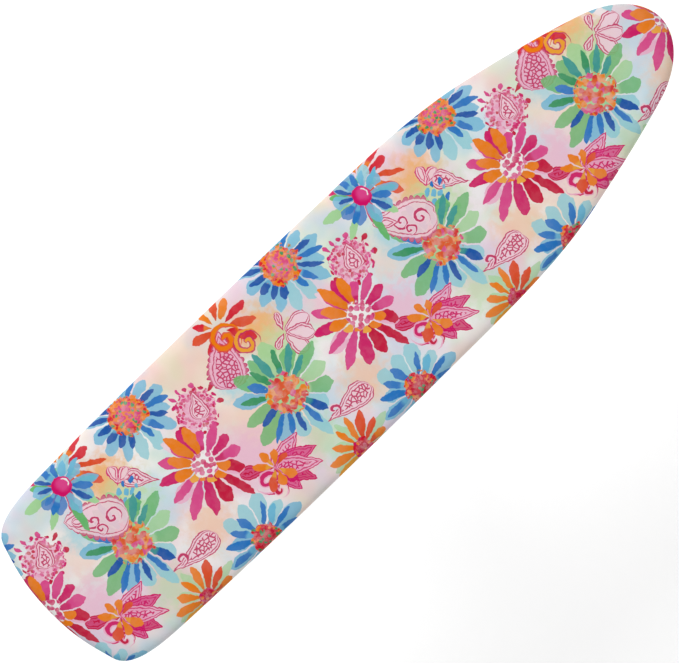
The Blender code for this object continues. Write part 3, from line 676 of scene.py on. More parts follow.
def paint_rare_motifs(cloth):
    """The drawn motifs that come at every other repeat."""
    full = 2 * HALF_REPEAT
    for turn in (52.0, 128.0, 90.0):
        cloth.add_drop(cloth.beside(-0.101, 0.060, 0.026, turn, full), 0.046, 0.021, Taper=0.6, Core=0.0)
    for turn in (-20.0, -160.0):
        cloth.add_drop(cloth.beside(-0.101, 0.060, 0.016, turn, full), 0.030, 0.011, Core=0.0)
    behind = cloth.at(0.520, 0.135, full)
    cloth.add_petals(behind, (ORANGE, RED, RED_ORANGE, RED), 11, 0.058, 0.012, Width=0.9, Seed=8.0)
    berries = cloth.at(0.489, 0.093, full, turn=168.0)
    cloth.add_drop(berries, 0.094, 0.044, Scallop=0.22, ground=PALE_PINK)
    cloth.add_curl(cloth.at(0.514, 0.116, full), 0.027, 0.020, ORANGE, RED_ORANGE)
    cloth.add_curl(cloth.at(0.535, 0.088, full), 0.023, 0.018, AMBER, LINE_PINK)
    for turn in (24.0, -24.0):
        cloth.add_drop(cloth.beside(0.226, 0.069, 0.016, turn, full), 0.034, 0.016, Core=0.0, line=MAGENTA)
    cloth.add_drop(cloth.at(0.257, 0.046, full, turn=-70.0), 0.060, 0.030, Taper=1.4, Bend=-0.016)
    dots = cloth.beside(0.222, 0.048, 0.006, 96.0, full)
    flattened = (dots[0], dots[1] * 1.7)
    cloth.add_petals(flattened, (SKY, BLUE, SKY, SKY), 9, 0.037, 0.020, Seed=15.0)
    cloth.add_petals(flattened, (SKY, SKY, BLUE, AQUA), 4, 0.019, 0.003, Width=0.9, Seed=17.0)


def paint_side_flowers(cloth):
    """The flowers that the board's edges cut through, and the leaf that one of them half hides."""
    full = 2 * HALF_REPEAT
    aside = cloth.at(-0.138, -0.164)
    cloth.add_petals(aside, (PALE_GREEN, PALE_GREEN, AQUA, PALE_GREEN), 9, 0.066, 0.0, Opacity=0.7)
    cloth.add_petals(aside, (RED_ORANGE, ORANGE, AMBER, RED), 13, 0.062, 0.012, Width=0.95, Seed=3.0)
    cloth.add_heart(aside, 0.017, CRIMSON, (MAGENTA, RED, CRIMSON), ORANGE)
    edge = cloth.at(-0.005, -0.158)
    cloth.two_layer_daisy(edge, (SKY, BLUE, BLUE, DEEP_BLUE), (AQUA, SKY, AQUA, SKY), 15, 0.076, 0.020, 9.0)
    cloth.add_heart(edge, 0.026, RED, (RED, ORANGE, CRIMSON), DEEP_GREEN)
    leaf = cloth.at(0.163, 0.052, full, turn=80.0)
    cloth.add_drop(leaf, 0.104, 0.044, Taper=0.6, Bend=0.004, Scallop=0.26, Core=0.0)
    cloth.add_curl(cloth.beside(0.163, 0.052, 0.026, 76.0, full), 0.015, 0.012)
    cloth.add_curl(cloth.beside(0.163, 0.052, 0.006, -110.0, full), 0.014, 0.011)
    cloth.add_curl(cloth.beside(0.163, 0.052, 0.016, 150.0, full), 0.011, 0.009)
    cloth.add_drop(cloth.beside(0.163, 0.052, 0.024, -96.0, full), 0.030, 0.014, Core=0.0)
    behind = cloth.at(0.158, 0.150, EDGE_FLOWER_REPEAT)
    cloth.add_petals(behind, (ORANGE, RED, RED_ORANGE, MAGENTA), 13, 0.068, 0.012, Width=0.9, Seed=12.0)
    small = cloth.at(0.141, 0.129, EDGE_FLOWER_REPEAT)
    leaves = (GREEN, PALE_GREEN, GREEN, PALE_GREEN)
    cloth.add_petals(small, leaves, 9, 0.062, 0.02, Width=0.7, Seed=6.0, Lean=-0.5)
    cloth.two_layer_daisy(small, (SKY, BLUE, DEEP_BLUE, BLUE), (SKY, AQUA, SKY, BLUE), 13, 0.056, 0.014, 7.0)
    cloth.add_bead(small, 0.0165, MAGENTA, PINK)


def paint_main_flowers(cloth):
    """The large flowers along the board."""
    top = cloth.at(-0.030, 0.140)
    cloth.two_layer_daisy(top, (SKY, BLUE, DEEP_BLUE, BLUE), (AQUA, SKY, SKY, AQUA), 17, 0.080, 0.030, 14.0)
    cloth.add_heart(top, 0.033, ORANGE, (RED, ORANGE, PINK), DEEP_GREEN)
    paint_lotus(cloth)
    sunny = cloth.at(0.004, -0.004, turn=-12.0)
    cloth.add_petals(
        sunny, (BLUSH, PALE_PINK, PALE_PINK, PALE_PINK), 9, 0.084, 0.02, Width=0.8, Missing=0.4, Opacity=0.85
    )
    magenta = (MAGENTA, PINK, MAGENTA, CRIMSON)
    cloth.add_petals(sunny, magenta, 14, 0.080, 0.015, Width=1.1, Seed=26.0, Lean=-0.14, Missing=0.12)
    orange = (ORANGE, ORANGE, AMBER, ORANGE)
    cloth.add_petals(sunny, orange, 12, 0.060, 0.015, Width=1.45, Seed=21.0, Lean=0.45, Missing=0.12)
    cloth.add_heart(sunny, 0.022, WHITE, (MAGENTA, PINK, MAGENTA), PINK, 0.52, fine=False)


def paint_leafy_flower(cloth):
    """The green and blue flower, the largest of all."""
    leafy = cloth.at(0.179, -0.014)
    pale = (PALE_GREEN, GREEN, SKY, AQUA)
    cloth.two_layer_daisy(leafy, (TEAL, DEEP_GREEN, BLUE, DEEP_BLUE), pale, 17, 0.092, 0.030, 21.0)
    cloth.add_heart(leafy, 0.034, PALE_GREEN, (RED, ORANGE, RED_ORANGE), PINK, 0.74, fine=False)


def paint_lotus(cloth):
    """The butterfly-like flower: outlined petals fanned to one side, curls and an orange heart."""
    x, y = 0.084, -0.088
    for turn, length, ground in (
        (30.0, 0.066, PALE_PINK), (128.0, 0.056, PINK), (60.0, 0.074, PINK),
        (104.0, 0.070, MAGENTA), (82.0, 0.078, PALE_PINK),
    ):
        spot = cloth.beside(x, y, length / 2, turn)
        flipped = (spot[0], spot[1] * -1.0)
        cloth.add_drop(flipped, length, 0.025, Taper=0.75, ground=ground, line=MAGENTA)
    cloth.add_drop(cloth.beside(x, y, 0.030, -102.0), 0.060, 0.018, ground=MAGENTA, line=CRIMSON)
    cloth.add_curl(cloth.beside(x, y, 0.027, -150.0), 0.022, 0.020, MAGENTA, PALE_PINK)
    cloth.add_curl(cloth.beside(x, y, 0.036, 168.0), 0.015, 0.015, CRIMSON, PALE_PINK)
    orange = (AMBER, ORANGE, RED_ORANGE, ORANGE)
    cloth.add_petals(cloth.at(x, y), orange, 9, 0.038, 0.002, Width=1.3, Seed=18.0, Missing=0.2)


def cover_material():
    """Printed cotton with a fine plain weave."""
    material = bpy.data.materials.new("printed_cotton")
    material.use_nodes = True
    tree = material.node_tree
    shader = tree.nodes["Principled BSDF"]
    attribute = tree.nodes.new("ShaderNodeAttribute")
    attribute.attribute_name = "cloth"
    where = Value(tree, attribute.outputs["Vector"])
    cloth = Print(tree, where)
    paint_washes(cloth)
    paint_line_motifs(cloth)
    paint_rare_motifs(cloth)
    paint_leafy_flower(cloth)
    paint_side_flowers(cloth)
    paint_main_flowers(cloth)
    x, y, _ = parts_of(tree, where)
    thread = 0.00055
    warp = (x * (math.tau / thread)).math("SINE")
    weft = (y * (math.tau / thread)).math("SINE")
    slub = noise_value(tree, where, 900.0, 2.0)
    hem = tree.nodes.new("ShaderNodeAttribute")
    hem.attribute_name = "hem"
    run, back, _ = parts_of(tree, Value(tree, hem.outputs["Vector"]))
    seam = (back - 0.0075).math("ABSOLUTE").ramp(0.0004, 0.0008, 1.0, 0.0)
    stitch = seam * (run / 0.0032).math("FRACT").ramp(0.55, 0.65, 1.0, 0.0)
    height = warp * weft * 0.5 + slub + stitch * 3.0 - seam * 1.5
    bump = tree.nodes.new("ShaderNodeBump")
    bump.inputs["Strength"].default_value = 0.25
    bump.inputs["Distance"].default_value = 0.0002
    feed(tree, bump.inputs["Height"], height)
    colour = mix(tree, stitch * 0.8, cloth.colour, WHITE)
    feed(tree, shader.inputs["Base Color"], mix(tree, 1.0, colour, COTTON_SHADE, "MULTIPLY"))
    tree.links.new(bump.outputs["Normal"], shader.inputs["Normal"])
    shader.inputs["Roughness"].default_value = 0.86
    shader.inputs["Specular IOR Level"].default_value = 0.05
    shader.inputs["Sheen Weight"].default_value = 0.02
    shader.inputs["Sheen Roughness"].default_value = 0.5
    return material


# ------------------------------------------------------------------------------------- soft pieces

GATHER_PITCH, GATHER_HEIGHT, GATHER_SHIFT = 0.021, 0.0016, 0.0014
CROWN_STEPS, FLAP_STEPS = 14, 8
CROWN_RIPPLE = 0.0006
PAD_GAP, PAD_EASE = 0.0003, 0.0004
ELASTIC_RADIUS, ELASTIC_SIDES = 0.0017, 12


def pleat(index):
    """How far round a gather wave an edge point is, and how strongly the hem gathers there."""
    reach = 6
    before, after = EDGE[index - reach][1], EDGE[(index + reach) % EDGE_COUNT][1]
    curl = before.angle(after) / (2 * reach * EDGE_SPACING)
    strength = 0.35 + min(curl * 0.05, 0.65)
    waves = round(EDGE_COUNT * EDGE_SPACING / GATHER_PITCH)
    return math.tau * waves * index / EDGE_COUNT, strength


def level_ring(inset, height):
    """A ring of points at one inset from the outline and one height."""
    return [(*(point - normal * inset), height) for point, normal in EDGE]


def shrunk_ring(inset, height, share):
    """A level ring drawn in towards the board's spine: 0 is the spine, 1 the ring itself."""
    points = []
    for point, normal in EDGE:
        here = spine_point(point).lerp(point - normal * inset, share)
        points.append((here.x, here.y, height))
    return points


def close_along_spine(shape, ring):
    """Fill the flat middle of a small ring with quads across the board's axis."""
    for index in range(EDGE_COUNT // 2):
        corners = []
        for number in (index, index + 1, EDGE_COUNT - index - 1, -index % EDGE_COUNT):
            corner = ring[number % EDGE_COUNT]
            if corner not in corners:
                corners.append(corner)
        if len(corners) >= 3:
            shape.faces.new(corners)


def skinned(name, rings, close_start=False, close_end=False):
    """A mesh object skinned over rings of points, with its ends closed along the spine if asked."""
    verts = [point for ring in rings for point in ring]
    obj = add_mesh(name, verts, skin(numbered_rows(len(rings), EDGE_COUNT)))
    shape = bmesh.new()
    shape.from_mesh(obj.data)
    shape.verts.ensure_lookup_table()
    points = list(shape.verts)
    if close_start:
        close_along_spine(shape, points[:EDGE_COUNT])
    if close_end:
        close_along_spine(shape, points[-EDGE_COUNT:])
    bmesh.ops.recalc_face_normals(shape, faces=shape.faces)
    shape.to_mesh(obj.data)
    shape.free()
    obj.data.shade_smooth()
    return obj


def store(obj, name, vectors):
    """Keep a vector for each point of a mesh, for its material to read."""
    attribute = obj.data.attributes.new(name, "FLOAT_VECTOR", "POINT")
    attribute.data.foreach_set("vector", [part for vector_value in vectors for part in vector_value])


def flap_ring(share, travelled, inner):
    """One ring of the gathered flap under the edge, and where its cloth lies flat."""
    last_inset, last_drop = COVER_SECTION[-1]
    inset = last_inset + (HEM_INSET - last_inset) * share
    distance = travelled + (HEM_INSET - last_inset) * share
    ring, flat = [], []
    for index, (point, normal) in enumerate(EDGE):
        phase, strength = pleat(index)
        wave = math.sin(phase) + 0.3 * math.sin(2 * phase + 1.0)
        lift = GATHER_HEIGHT * strength * wave * share**1.2
        along = Vector((-normal.y, normal.x)) * (GATHER_SHIFT * strength * share * math.cos(phase))
        here = point - normal * inset + along
        spread = point - normal * (inner - distance)
        ring.append((here.x, here.y, CLOTH_TOP - last_drop + lift))
        flat.append((spread.x, spread.y, 0.0))
    return ring, flat


def cover_rings():
    """The cover's rings from the middle of its top to its hem, and where each one lies flat."""
    inner = COVER_SECTION[0][0]
    rings, flats = [], []
    for step in range(1, CROWN_STEPS + 1):
        share = step / CROWN_STEPS
        ring = []
        for x, y, z in shrunk_ring(inner, CLOTH_TOP, share):
            rise = noise.noise(Vector((x * 7, y * 9, 3.1))) * CROWN_RIPPLE * (1 - share**6)
            ring.append((x, y, z + rise))
        rings.append(ring)
        flats.append([(x, y, 0.0) for x, y, _ in ring])
    travelled = 0.0
    for before, after in zip(COVER_SECTION, COVER_SECTION[1:]):
        travelled += math.dist(before, after)
        rings.append(level_ring(after[0], CLOTH_TOP - after[1]))
        flats.append(level_ring(inner - travelled, 0.0))
    for step in range(1, FLAP_STEPS + 1):
        ring, flat = flap_ring(step / FLAP_STEPS, travelled, inner)
        rings.append(ring)
        flats.append(flat)
    return rings, flats


def hem_places(count):
    """For each point of the cover's rings, its place along the hem and its distance back from it."""
    step_back = (HEM_INSET - COVER_SECTION[-1][0]) / FLAP_STEPS
    farthest = 0.1
    places = []
    for number in range(count):
        back = min((count - 1 - number) * step_back, farthest)
        places.extend((index * EDGE_SPACING, back, 0.0) for index in range(EDGE_COUNT))
    return places


def thicken(obj, name, thickness):
    """Give a sheet its gauge, downwards from its top face."""
    solidify = obj.modifiers.new(name, "SOLIDIFY")
    solidify.thickness = thickness
    solidify.offset = -1.0


def make_cover(elastic):
    """The cotton cover: flat on the pad, rolled over the edge, gathered to its hem underneath."""
    rings, flats = cover_rings()
    cover = skinned("cover_cloth", rings, close_start=True)
    store(cover, "cloth", [spot for flat in flats for spot in flat])
    store(cover, "hem", hem_places(len(rings)))
    thicken(cover, "cloth", CLOTH_THICKNESS)
    finish_piece(cover, "top", ["cover"], cover_material())
    declare_cover(flats[-1])


def declare_cover(cut):
    """Work out the cloth's cut size and area from the outline of its edge laid out flat; nothing uses the
    results.
    """
    xs, ys = [spot[0] for spot in cut], [spot[1] for spot in cut]
    area = 0.0
    for (x, y, _), (next_x, next_y, _) in zip(cut, cut[1:] + cut[:1]):
        area += (x * next_y - next_x * y) / 2
    flat = (max(ys) - min(ys), max(xs) - min(xs))


def make_pad():
    """The felt pad: it lies on the mesh deck and fills the cover's rolled edge."""
    clearance = CLOTH_THICKNESS + PAD_GAP
    eased_in = 0.004
    floor = DECK_HIGH.z + PAD_GAP
    top = CLOTH_TOP - clearance
    rings = [shrunk_ring(COVER_SECTION[0][0], top, share) for share in (0.08, 0.4, 0.7, 0.9)]
    for inset, drop in COVER_SECTION:
        if top - drop > floor + PAD_EASE:
            rings.append(level_ring(inset + clearance * min(1.0, drop / eased_in), top - drop))
    rings.append(level_ring(PAD_INSET, floor + PAD_EASE))
    low_inset = PAD_INSET + 0.0006
    rings.append(level_ring(low_inset, floor))
    rings += [shrunk_ring(low_inset, floor, share) for share in (0.9, 0.5, 0.08)]
    pad = skinned("felt_pad", rings, close_start=True, close_end=True)
    finish_piece(pad, "top", ["pad"], felt_material())


def make_elastic():
    """The woven elastic that edges the hem and follows its gathers."""
    hem, _ = flap_ring(1.0, 0.0, 0.0)
    tucked = 0.0006
    verts, run = [], []
    for index, (x, y, z) in enumerate(hem):
        normal = EDGE[index][1]
        for side in range(ELASTIC_SIDES):
            angle = math.tau * side / ELASTIC_SIDES
            out = ELASTIC_RADIUS * math.cos(angle) - tucked
            verts.append((x + normal.x * out, y + normal.y * out, z + ELASTIC_RADIUS * math.sin(angle)))
            run.append((index * EDGE_SPACING, side / ELASTIC_SIDES, 0.0))
    faces = skin(numbered_rows(EDGE_COUNT, ELASTIC_SIDES), closed=True)
    elastic = add_mesh("hem_elastic_edge", verts, faces)
    store(elastic, "run", run)
    return finish_piece(elastic, "top", ["hem_elastic"], elastic_material())


# ------------------------------------------------------------------------------------ the mesh deck

MESH_PITCH = 0.0125
MESH_OPENING = 0.74
DECK_BORDER = 0.024
BORDER_OVERLAP = 0.006
HEXAGON = 6


def half_width(line, x):
    """The half width inside a line of points down the board's side, at one place; 0 past its ends."""
    for before, after in zip(line, line[1:]):
        if after.x <= x <= before.x:
            share = (x - after.x) / max(before.x - after.x, 1e-9)
            return before.y + (after.y - before.y) * (1 - share)
    return 0.0


def mesh_cells():
    """The middles of the mesh's hexagons, in rows across the board, that its border doesn't cover."""
    row_step = MESH_PITCH * math.sqrt(3) / 2
    inset = DECK_BORDER - BORDER_OVERLAP
    line = [point - normal * inset for point, normal in EDGE[: EDGE_COUNT // 2 + 1]]
    rows = int(BOARD_HIGH.y / row_step) + 1
    columns = int(BOARD_LENGTH / 2 / MESH_PITCH) + 1
    cells = []
    for row in range(-rows, rows + 1):
        for column in range(-columns, columns + 1):
            centre = Vector(((column + (row % 2) / 2) * MESH_PITCH, row * row_step, 0.0))
            if abs(centre.y) < half_width(line, centre.x):
                cells.append(centre)
    return cells


def make_mesh_deck():
    """Expanded steel mesh: hexagonal openings between thin strands."""
    corner = MESH_PITCH / math.sqrt(3)
    skin_gap = 0.0001
    angles = [math.radians(30 + 60 * number) for number in range(HEXAGON)]
    turns = [Vector((math.cos(angle), math.sin(angle), 0.0)) for angle in angles]
    verts, faces, shared = [], [], {}
    for centre in mesh_cells():
        rim = []
        for turn in turns:
            place = centre + turn * corner
            key = (round(place.x, 5), round(place.y, 5))
            if key not in shared:
                shared[key] = len(verts)
                verts.append(place)
            rim.append(shared[key])
        hole = range(len(verts), len(verts) + HEXAGON)
        verts += [centre + turn * (corner * MESH_OPENING) for turn in turns]
        for index in range(HEXAGON):
            after = (index + 1) % HEXAGON
            faces.append((rim[index], rim[after], hole[after], hole[index]))
    deck = add_mesh("deck_mesh", verts, faces, smooth=False)
    deck.location.z = DECK_HIGH.z - skin_gap
    thicken(deck, "gauge", DECK_HIGH.z - DECK_LOW.z - 2 * skin_gap)
    finish_piece(deck, "top", ["deck"], painted_metal("deck_paint_mesh", DECK_GREY))


def make_deck_border():
    """The plain band round the mesh, pressed flat where it is welded to the rim."""
    top, bottom = DECK_HIGH.z, DECK_LOW.z
    profile = [
        (RIM_INSET, top - 0.0002),
        (RIM_INSET + 0.0003, top),
        (DECK_BORDER - 0.0008, top),
        (DECK_BORDER, top - 0.0002),
        (DECK_BORDER, bottom + 0.0001),
        (DECK_BORDER - 0.0002, bottom),
        (RIM_INSET + 0.0002, bottom),
        (RIM_INSET, bottom + 0.0001),
    ]
    rings = [level_ring(inset, height) for inset, height in profile]
    border = skinned("deck_border", rings + rings[:1])
    weld_points(border, 0.00001)
    finish_piece(border, "top", ["deck"], painted_metal("deck_paint_border", DECK_GREY))


# ----------------------------------------------------------------------------------- legs and feet

TUBE_WALL = 0.0012
TUBE_SIDES = 48
CAP_RADIUS = 0.015
BRACE_RADIUS, BRACE_X = 0.008, -0.280


def outer_frame():
    """The outer legs' own space: origin on the hinge axis, +X down the leg."""
    return Matrix.Translation(HINGE) @ Matrix.Rotation(LEG_ANGLE, 4, "Y")


def inner_frame():
    """The inner legs' own space: origin on the cross pivot, +X up the leg to the sliding rod."""
    return Matrix.Translation(CROSS) @ Matrix.Rotation(-LEG_ANGLE, 4, "Y")


def saddle(radius, angle, met_radius):
    """How far a tube's wall stops short of the axis of the tube that it meets."""
    rise = radius * math.sin(angle)
    return math.sqrt(max(met_radius * met_radius - rise * rise, 0.0))


def leg_tube(name, place, radius, open_end, coped_end):
    """A leg along local X: rolled in at its open end, and coped to its foot bar at the other."""
    down = 1 if coped_end > open_end else -1
    bore = radius - TUBE_WALL
    stations = [(0.030, bore), (0.004, bore), (0.0008, bore), (0.0002, bore + 0.0002)]
    stations += [(0.0, radius - TUBE_WALL / 2), (0.0002, radius - 0.0002), (0.0008, radius)]
    stations += [(abs(coped_end - open_end) * share, radius) for share in (0.25, 0.5, 0.75)]
    angles = [math.tau * side / TUBE_SIDES for side in range(TUBE_SIDES)]
    verts = []
    for depth, size in stations:
        for angle in angles:
            spot = Vector((open_end + down * depth, size * math.cos(angle), size * math.sin(angle)))
            verts.append(place @ spot)
    for angle in angles:
        x = coped_end - down * saddle(radius, angle, FOOT_BAR_RADIUS)
        verts.append(place @ Vector((x, radius * math.cos(angle), radius * math.sin(angle))))
    rows = numbered_rows(len(stations) + 1, TUBE_SIDES)
    obj = add_mesh(name, verts, skin(rows[::down]))
    obj.data.set_sharp_from_angle(angle=math.radians(50))
    return obj


def weld_bead(name, place, radius, met_radius, centre_x, sign):
    """The fillet of weld round a coped joint, lumpy from one puddle to the next."""
    sides, steps, size = 10, 72, 0.0015
    back = Vector((-sign, 0.0, 0.0))
    verts = []
    for step in range(steps):
        angle = math.tau * step / steps
        out = Vector((0.0, math.cos(angle), math.sin(angle)))
        middle = Vector((centre_x - sign * saddle(radius, angle, met_radius), 0.0, 0.0)) + out * radius
        lump = size * (1 + 0.16 * math.sin(step * math.tau / 4.5) + 0.15 * noise.noise(middle * 300))
        for side in range(sides):
            turn = math.tau * side / sides
            verts.append(place @ (middle + (out * math.cos(turn) + back * math.sin(turn)) * lump))
    obj = add_mesh(name, verts, skin(numbered_rows(steps, sides), closed=True))
    weld_points(obj)
    return obj


def lathe(name, profile, place, steps=48, sharp=45.0):
    """Spin an (r, z) profile about Z. A profile that starts off the axis is closed in a loop.

    A radius that changes round the part is given as a function of the angle.
    """
    verts = []
    for radius, height in profile:
        for step in range(steps):
            angle = math.tau * step / steps
            reach = radius(angle) if callable(radius) else radius
            verts.append(place @ Vector((reach * math.cos(angle), reach * math.sin(angle), height)))
    faces = skin(numbered_rows(len(profile), steps), closed=profile[0][0] != 0.0)
    obj = add_mesh(name, verts, faces)
    weld_points(obj)
    obj.data.shade_smooth()
    obj.data.set_sharp_from_angle(angle=math.radians(sharp))
    return obj


def arc(centre_r, centre_z, radius, start, end, steps=6):
    """Points on an arc of a lathe profile, in degrees."""
    points = []
    for step in range(steps + 1):
        angle = math.radians(start + (end - start) * step / steps)
        points.append((max(centre_r + radius * math.cos(angle), 0.0), centre_z + radius * math.sin(angle)))
    return points


def across(place, x, y, z=0.0, outward=1):
    """A lathe's place with its axis along local Y, towards +Y or -Y."""
    return place @ Matrix.Translation((x, y, z)) @ Matrix.Rotation(-outward * math.pi / 2, 4, "X")


def foot_cap(name, place):
    """A ribbed rubber cap pressed over the end of a foot bar, flat where it meets the floor."""
    bore, mouth = FOOT_BAR_RADIUS + 0.0003, -0.0184
    groove, rib_pitch = CAP_RADIUS - 0.0007, 0.0036
    profile = [(bore, -0.0155), (bore, -0.018), (bore + 0.0004, mouth), (CAP_RADIUS - 0.0018, mouth)]
    profile += arc(CAP_RADIUS - 0.0010, -0.0174, 0.0010, -90, 0, 4)
    for rib in range(4):
        z = -0.0160 + rib * rib_pitch
        profile += [(CAP_RADIUS, z), (groove, z + 0.0005), (groove, z + 0.0013), (CAP_RADIUS, z + 0.0018)]
    profile += arc(CAP_RADIUS - 0.0024, 0.0016, 0.0024, 0, 80, 6)
    profile += [(0.006, 0.0044), (0.0, 0.0045)]
    cap = lathe(name, profile[::-1], place, 56, 60.0)
    for vert in cap.data.vertices:
        vert.co.z = max(vert.co.z, 0.0)
    return cap


def make_foot(prefix, place, x, half_length):
    """A foot bar with its two caps."""
    body = prefix + "_leg_frame"
    bore = FOOT_BAR_RADIUS - TUBE_WALL
    profile = [(FOOT_BAR_RADIUS, 0.0), (FOOT_BAR_RADIUS, 2 * half_length)]
    profile += [(bore, 2 * half_length), (bore, 0.0)]
    bar = lathe(prefix + "_foot_tube", profile, across(place, x, -half_length))
    paint = painted_metal(prefix + "_foot_paint", LEG_GREY)
    finish_piece(bar, body, [prefix + "_foot_bar"], paint)
    for side, sign in SIDES:
        cap = foot_cap(prefix + "_foot_tip_" + side, across(place, x, sign * half_length, outward=sign))
        rubber = rubber_material(prefix + "_foot_rubber_" + side)
        finish_piece(cap, body, [prefix + "_foot_cap_" + side], rubber)


def make_legs():
    """Both leg frames' tubes, feet and welds."""
    frames = (
        ("outer", outer_frame(), OUTER_LEG_Y, OUTER_TUBE_RADIUS, -0.014, LEG_LENGTH),
        ("inner", inner_frame(), INNER_LEG_Y, INNER_TUBE_RADIUS, UPPER_LEG + 0.012, -LOWER_LEG),
    )
    for side, sign in SIDES:
        for prefix, frame_place, leg_y, radius, open_end, foot in frames:
            body = prefix + "_leg_frame"
            place = frame_place @ Matrix.Translation((0.0, sign * leg_y, 0.0))
            tube = leg_tube(prefix + "_tube_" + side, place, radius, open_end, foot)
            paint = painted_metal(prefix + "_leg_paint_" + side, LEG_GREY)
            finish_piece(tube, body, [prefix + "_leg_" + side], paint)
            down = math.copysign(1, foot)
            bead = weld_bead(prefix + "_weld_" + side, place, radius, FOOT_BAR_RADIUS, foot, down)
            finish_piece(bead, body, [], paint)
    make_foot("outer", outer_frame(), LEG_LENGTH, OUTER_FOOT_HALF)
    make_foot("inner", inner_frame(), -LOWER_LEG, INNER_FOOT_HALF)


def make_inner_brace():
    """The tube between the inner legs, coped and welded to both."""
    sides, spans = 40, (-1.0, -0.5, 0.5, 1.0)
    place = inner_frame() @ Matrix.Translation((BRACE_X, 0.0, 0.0))
    paint = painted_metal("inner_brace_paint", LEG_GREY)
    verts = []
    for span in spans:
        for side in range(sides):
            angle = math.tau * side / sides
            end = INNER_LEG_Y - saddle(BRACE_RADIUS, angle, INNER_TUBE_RADIUS)
            spot = (BRACE_RADIUS * math.cos(angle), end * span, BRACE_RADIUS * math.sin(angle))
            verts.append(place @ Vector(spot))
    brace = add_mesh("inner_brace_tube", verts, skin(numbered_rows(len(spans), sides)))
    weld_points(brace)
    finish_piece(brace, "inner_leg_frame", ["inner_leg_brace"], paint)
    place = place @ Matrix.Rotation(math.pi / 2, 4, "Z")
    for side, sign in SIDES:
        name = "brace_weld_" + side
        bead = weld_bead(name, place, BRACE_RADIUS, INNER_TUBE_RADIUS, sign * INNER_LEG_Y, sign)
        finish_piece(bead, "inner_leg_frame", [], paint)


# -------------------------------------------------------------------------------------- fasteners

FIT = 0.0003
RIVET_HEAD_RADIUS = 0.0065
NUT_HEIGHT, NUT_CORNER, NUT_CHAMFER = 0.005, 0.0075, 0.0070
BOLT_PROUD = 0.0015


def rivet_profile(radius, grip, head_radius, head, tail_head=True):
    """A pin with a domed head below 0 and, if wanted, another past its grip."""
    dome = (head_radius**2 + head**2) / (2 * head)
    half_angle = math.degrees(math.asin(min(head_radius / dome, 1.0)))
    low = arc(0.0, dome - head, dome, -90, -90 + half_angle, 8)
    if tail_head:
        return low + [(radius, 0.0), (radius, grip)] + [(r, grip - z) for r, z in reversed(low)]
    return low + [(radius, 0.0), (radius, grip - 0.0005), (radius - 0.0005, grip), (0.0, grip)]


def hexagon(angle):
    """How far out the nut's six flats lie."""
    return math.cos(math.pi / 6) / math.cos((angle % (math.pi / 3)) - math.pi / 6) * NUT_CORNER


def chamfered(angle):
    """The hexagon with its corners turned off."""
    return min(hexagon(angle), NUT_CHAMFER)


def nut(name, place, bore, height):
    """A hexagon lock nut: chamfered corners and a round collar."""
    collar = height - 0.0009
    profile = [(bore, 0.0), (chamfered, 0.0), (hexagon, 0.0006), (hexagon, height - 0.0016)]
    profile += [(chamfered, collar), (0.0058, collar), (0.0056, height), (bore, height)]
    return lathe(name, profile, place, 60, 25.0)


def ring_profile(bore, radius, length, ease=0.0005):
    """A bush or spacer with eased corners."""
    outside = [(radius - ease, 0.0), (radius, ease), (radius, length - ease), (radius - ease, length)]
    return [(bore, 0.0)] + outside + [(bore, length)]


def turned(name, profile, place, body, node, material):
    """A lathed fastener in its place."""
    finish_piece(lathe(name, profile, place), body, [node], material)


def box_rivet(name, node, radius, head_radius, head, material):
    """A rivet across the board that fills a CAD pin's box from head to head."""
    low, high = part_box(node)
    middle = (low + high) / 2
    profile = rivet_profile(radius, high.y - low.y - 2 * head, head_radius, head)
    place = across(Matrix.Identity(4), middle.x, low.y + head, middle.z)
    turned(name, profile, place, "top", node, material)


def make_fasteners():
    """Pins, bolts, nuts, spacers and bushes."""
    body = "inner_leg_frame"
    for side, sign in SIDES:
        zinc = zinc_material("hinge_zinc_" + side)
        box_rivet("hinge_rivet_" + side, "hinge_pin_" + side, PIN_RADIUS, RIVET_HEAD_RADIUS, 0.0025, zinc)
        make_cross_pivot(side, sign)
        start, end = 0.0226, INNER_LEG_Y - INNER_TUBE_RADIUS - 2 * FIT
        place = across(inner_frame(), UPPER_LEG, sign * start, outward=sign)
        profile = ring_profile(ROD_RADIUS + FIT, 0.0075, end - start)
        nylon = nylon_material("bush_nylon_" + side)
        turned("rod_sleeve_" + side, profile, place, body, "rod_bush_" + side, nylon)
    grip = 2 * (INNER_LEG_Y + INNER_TUBE_RADIUS + FIT)
    place = across(inner_frame(), UPPER_LEG, -grip / 2)
    profile = rivet_profile(ROD_RADIUS, grip, 0.007, 0.003)
    turned("height_rod", profile, place, body, "slide_rod", zinc_material("rod_zinc"))
    box_rivet("latch_rivet", "latch_pivot_pin", 0.003, 0.005, 0.002, zinc_material("latch_pin_zinc"))


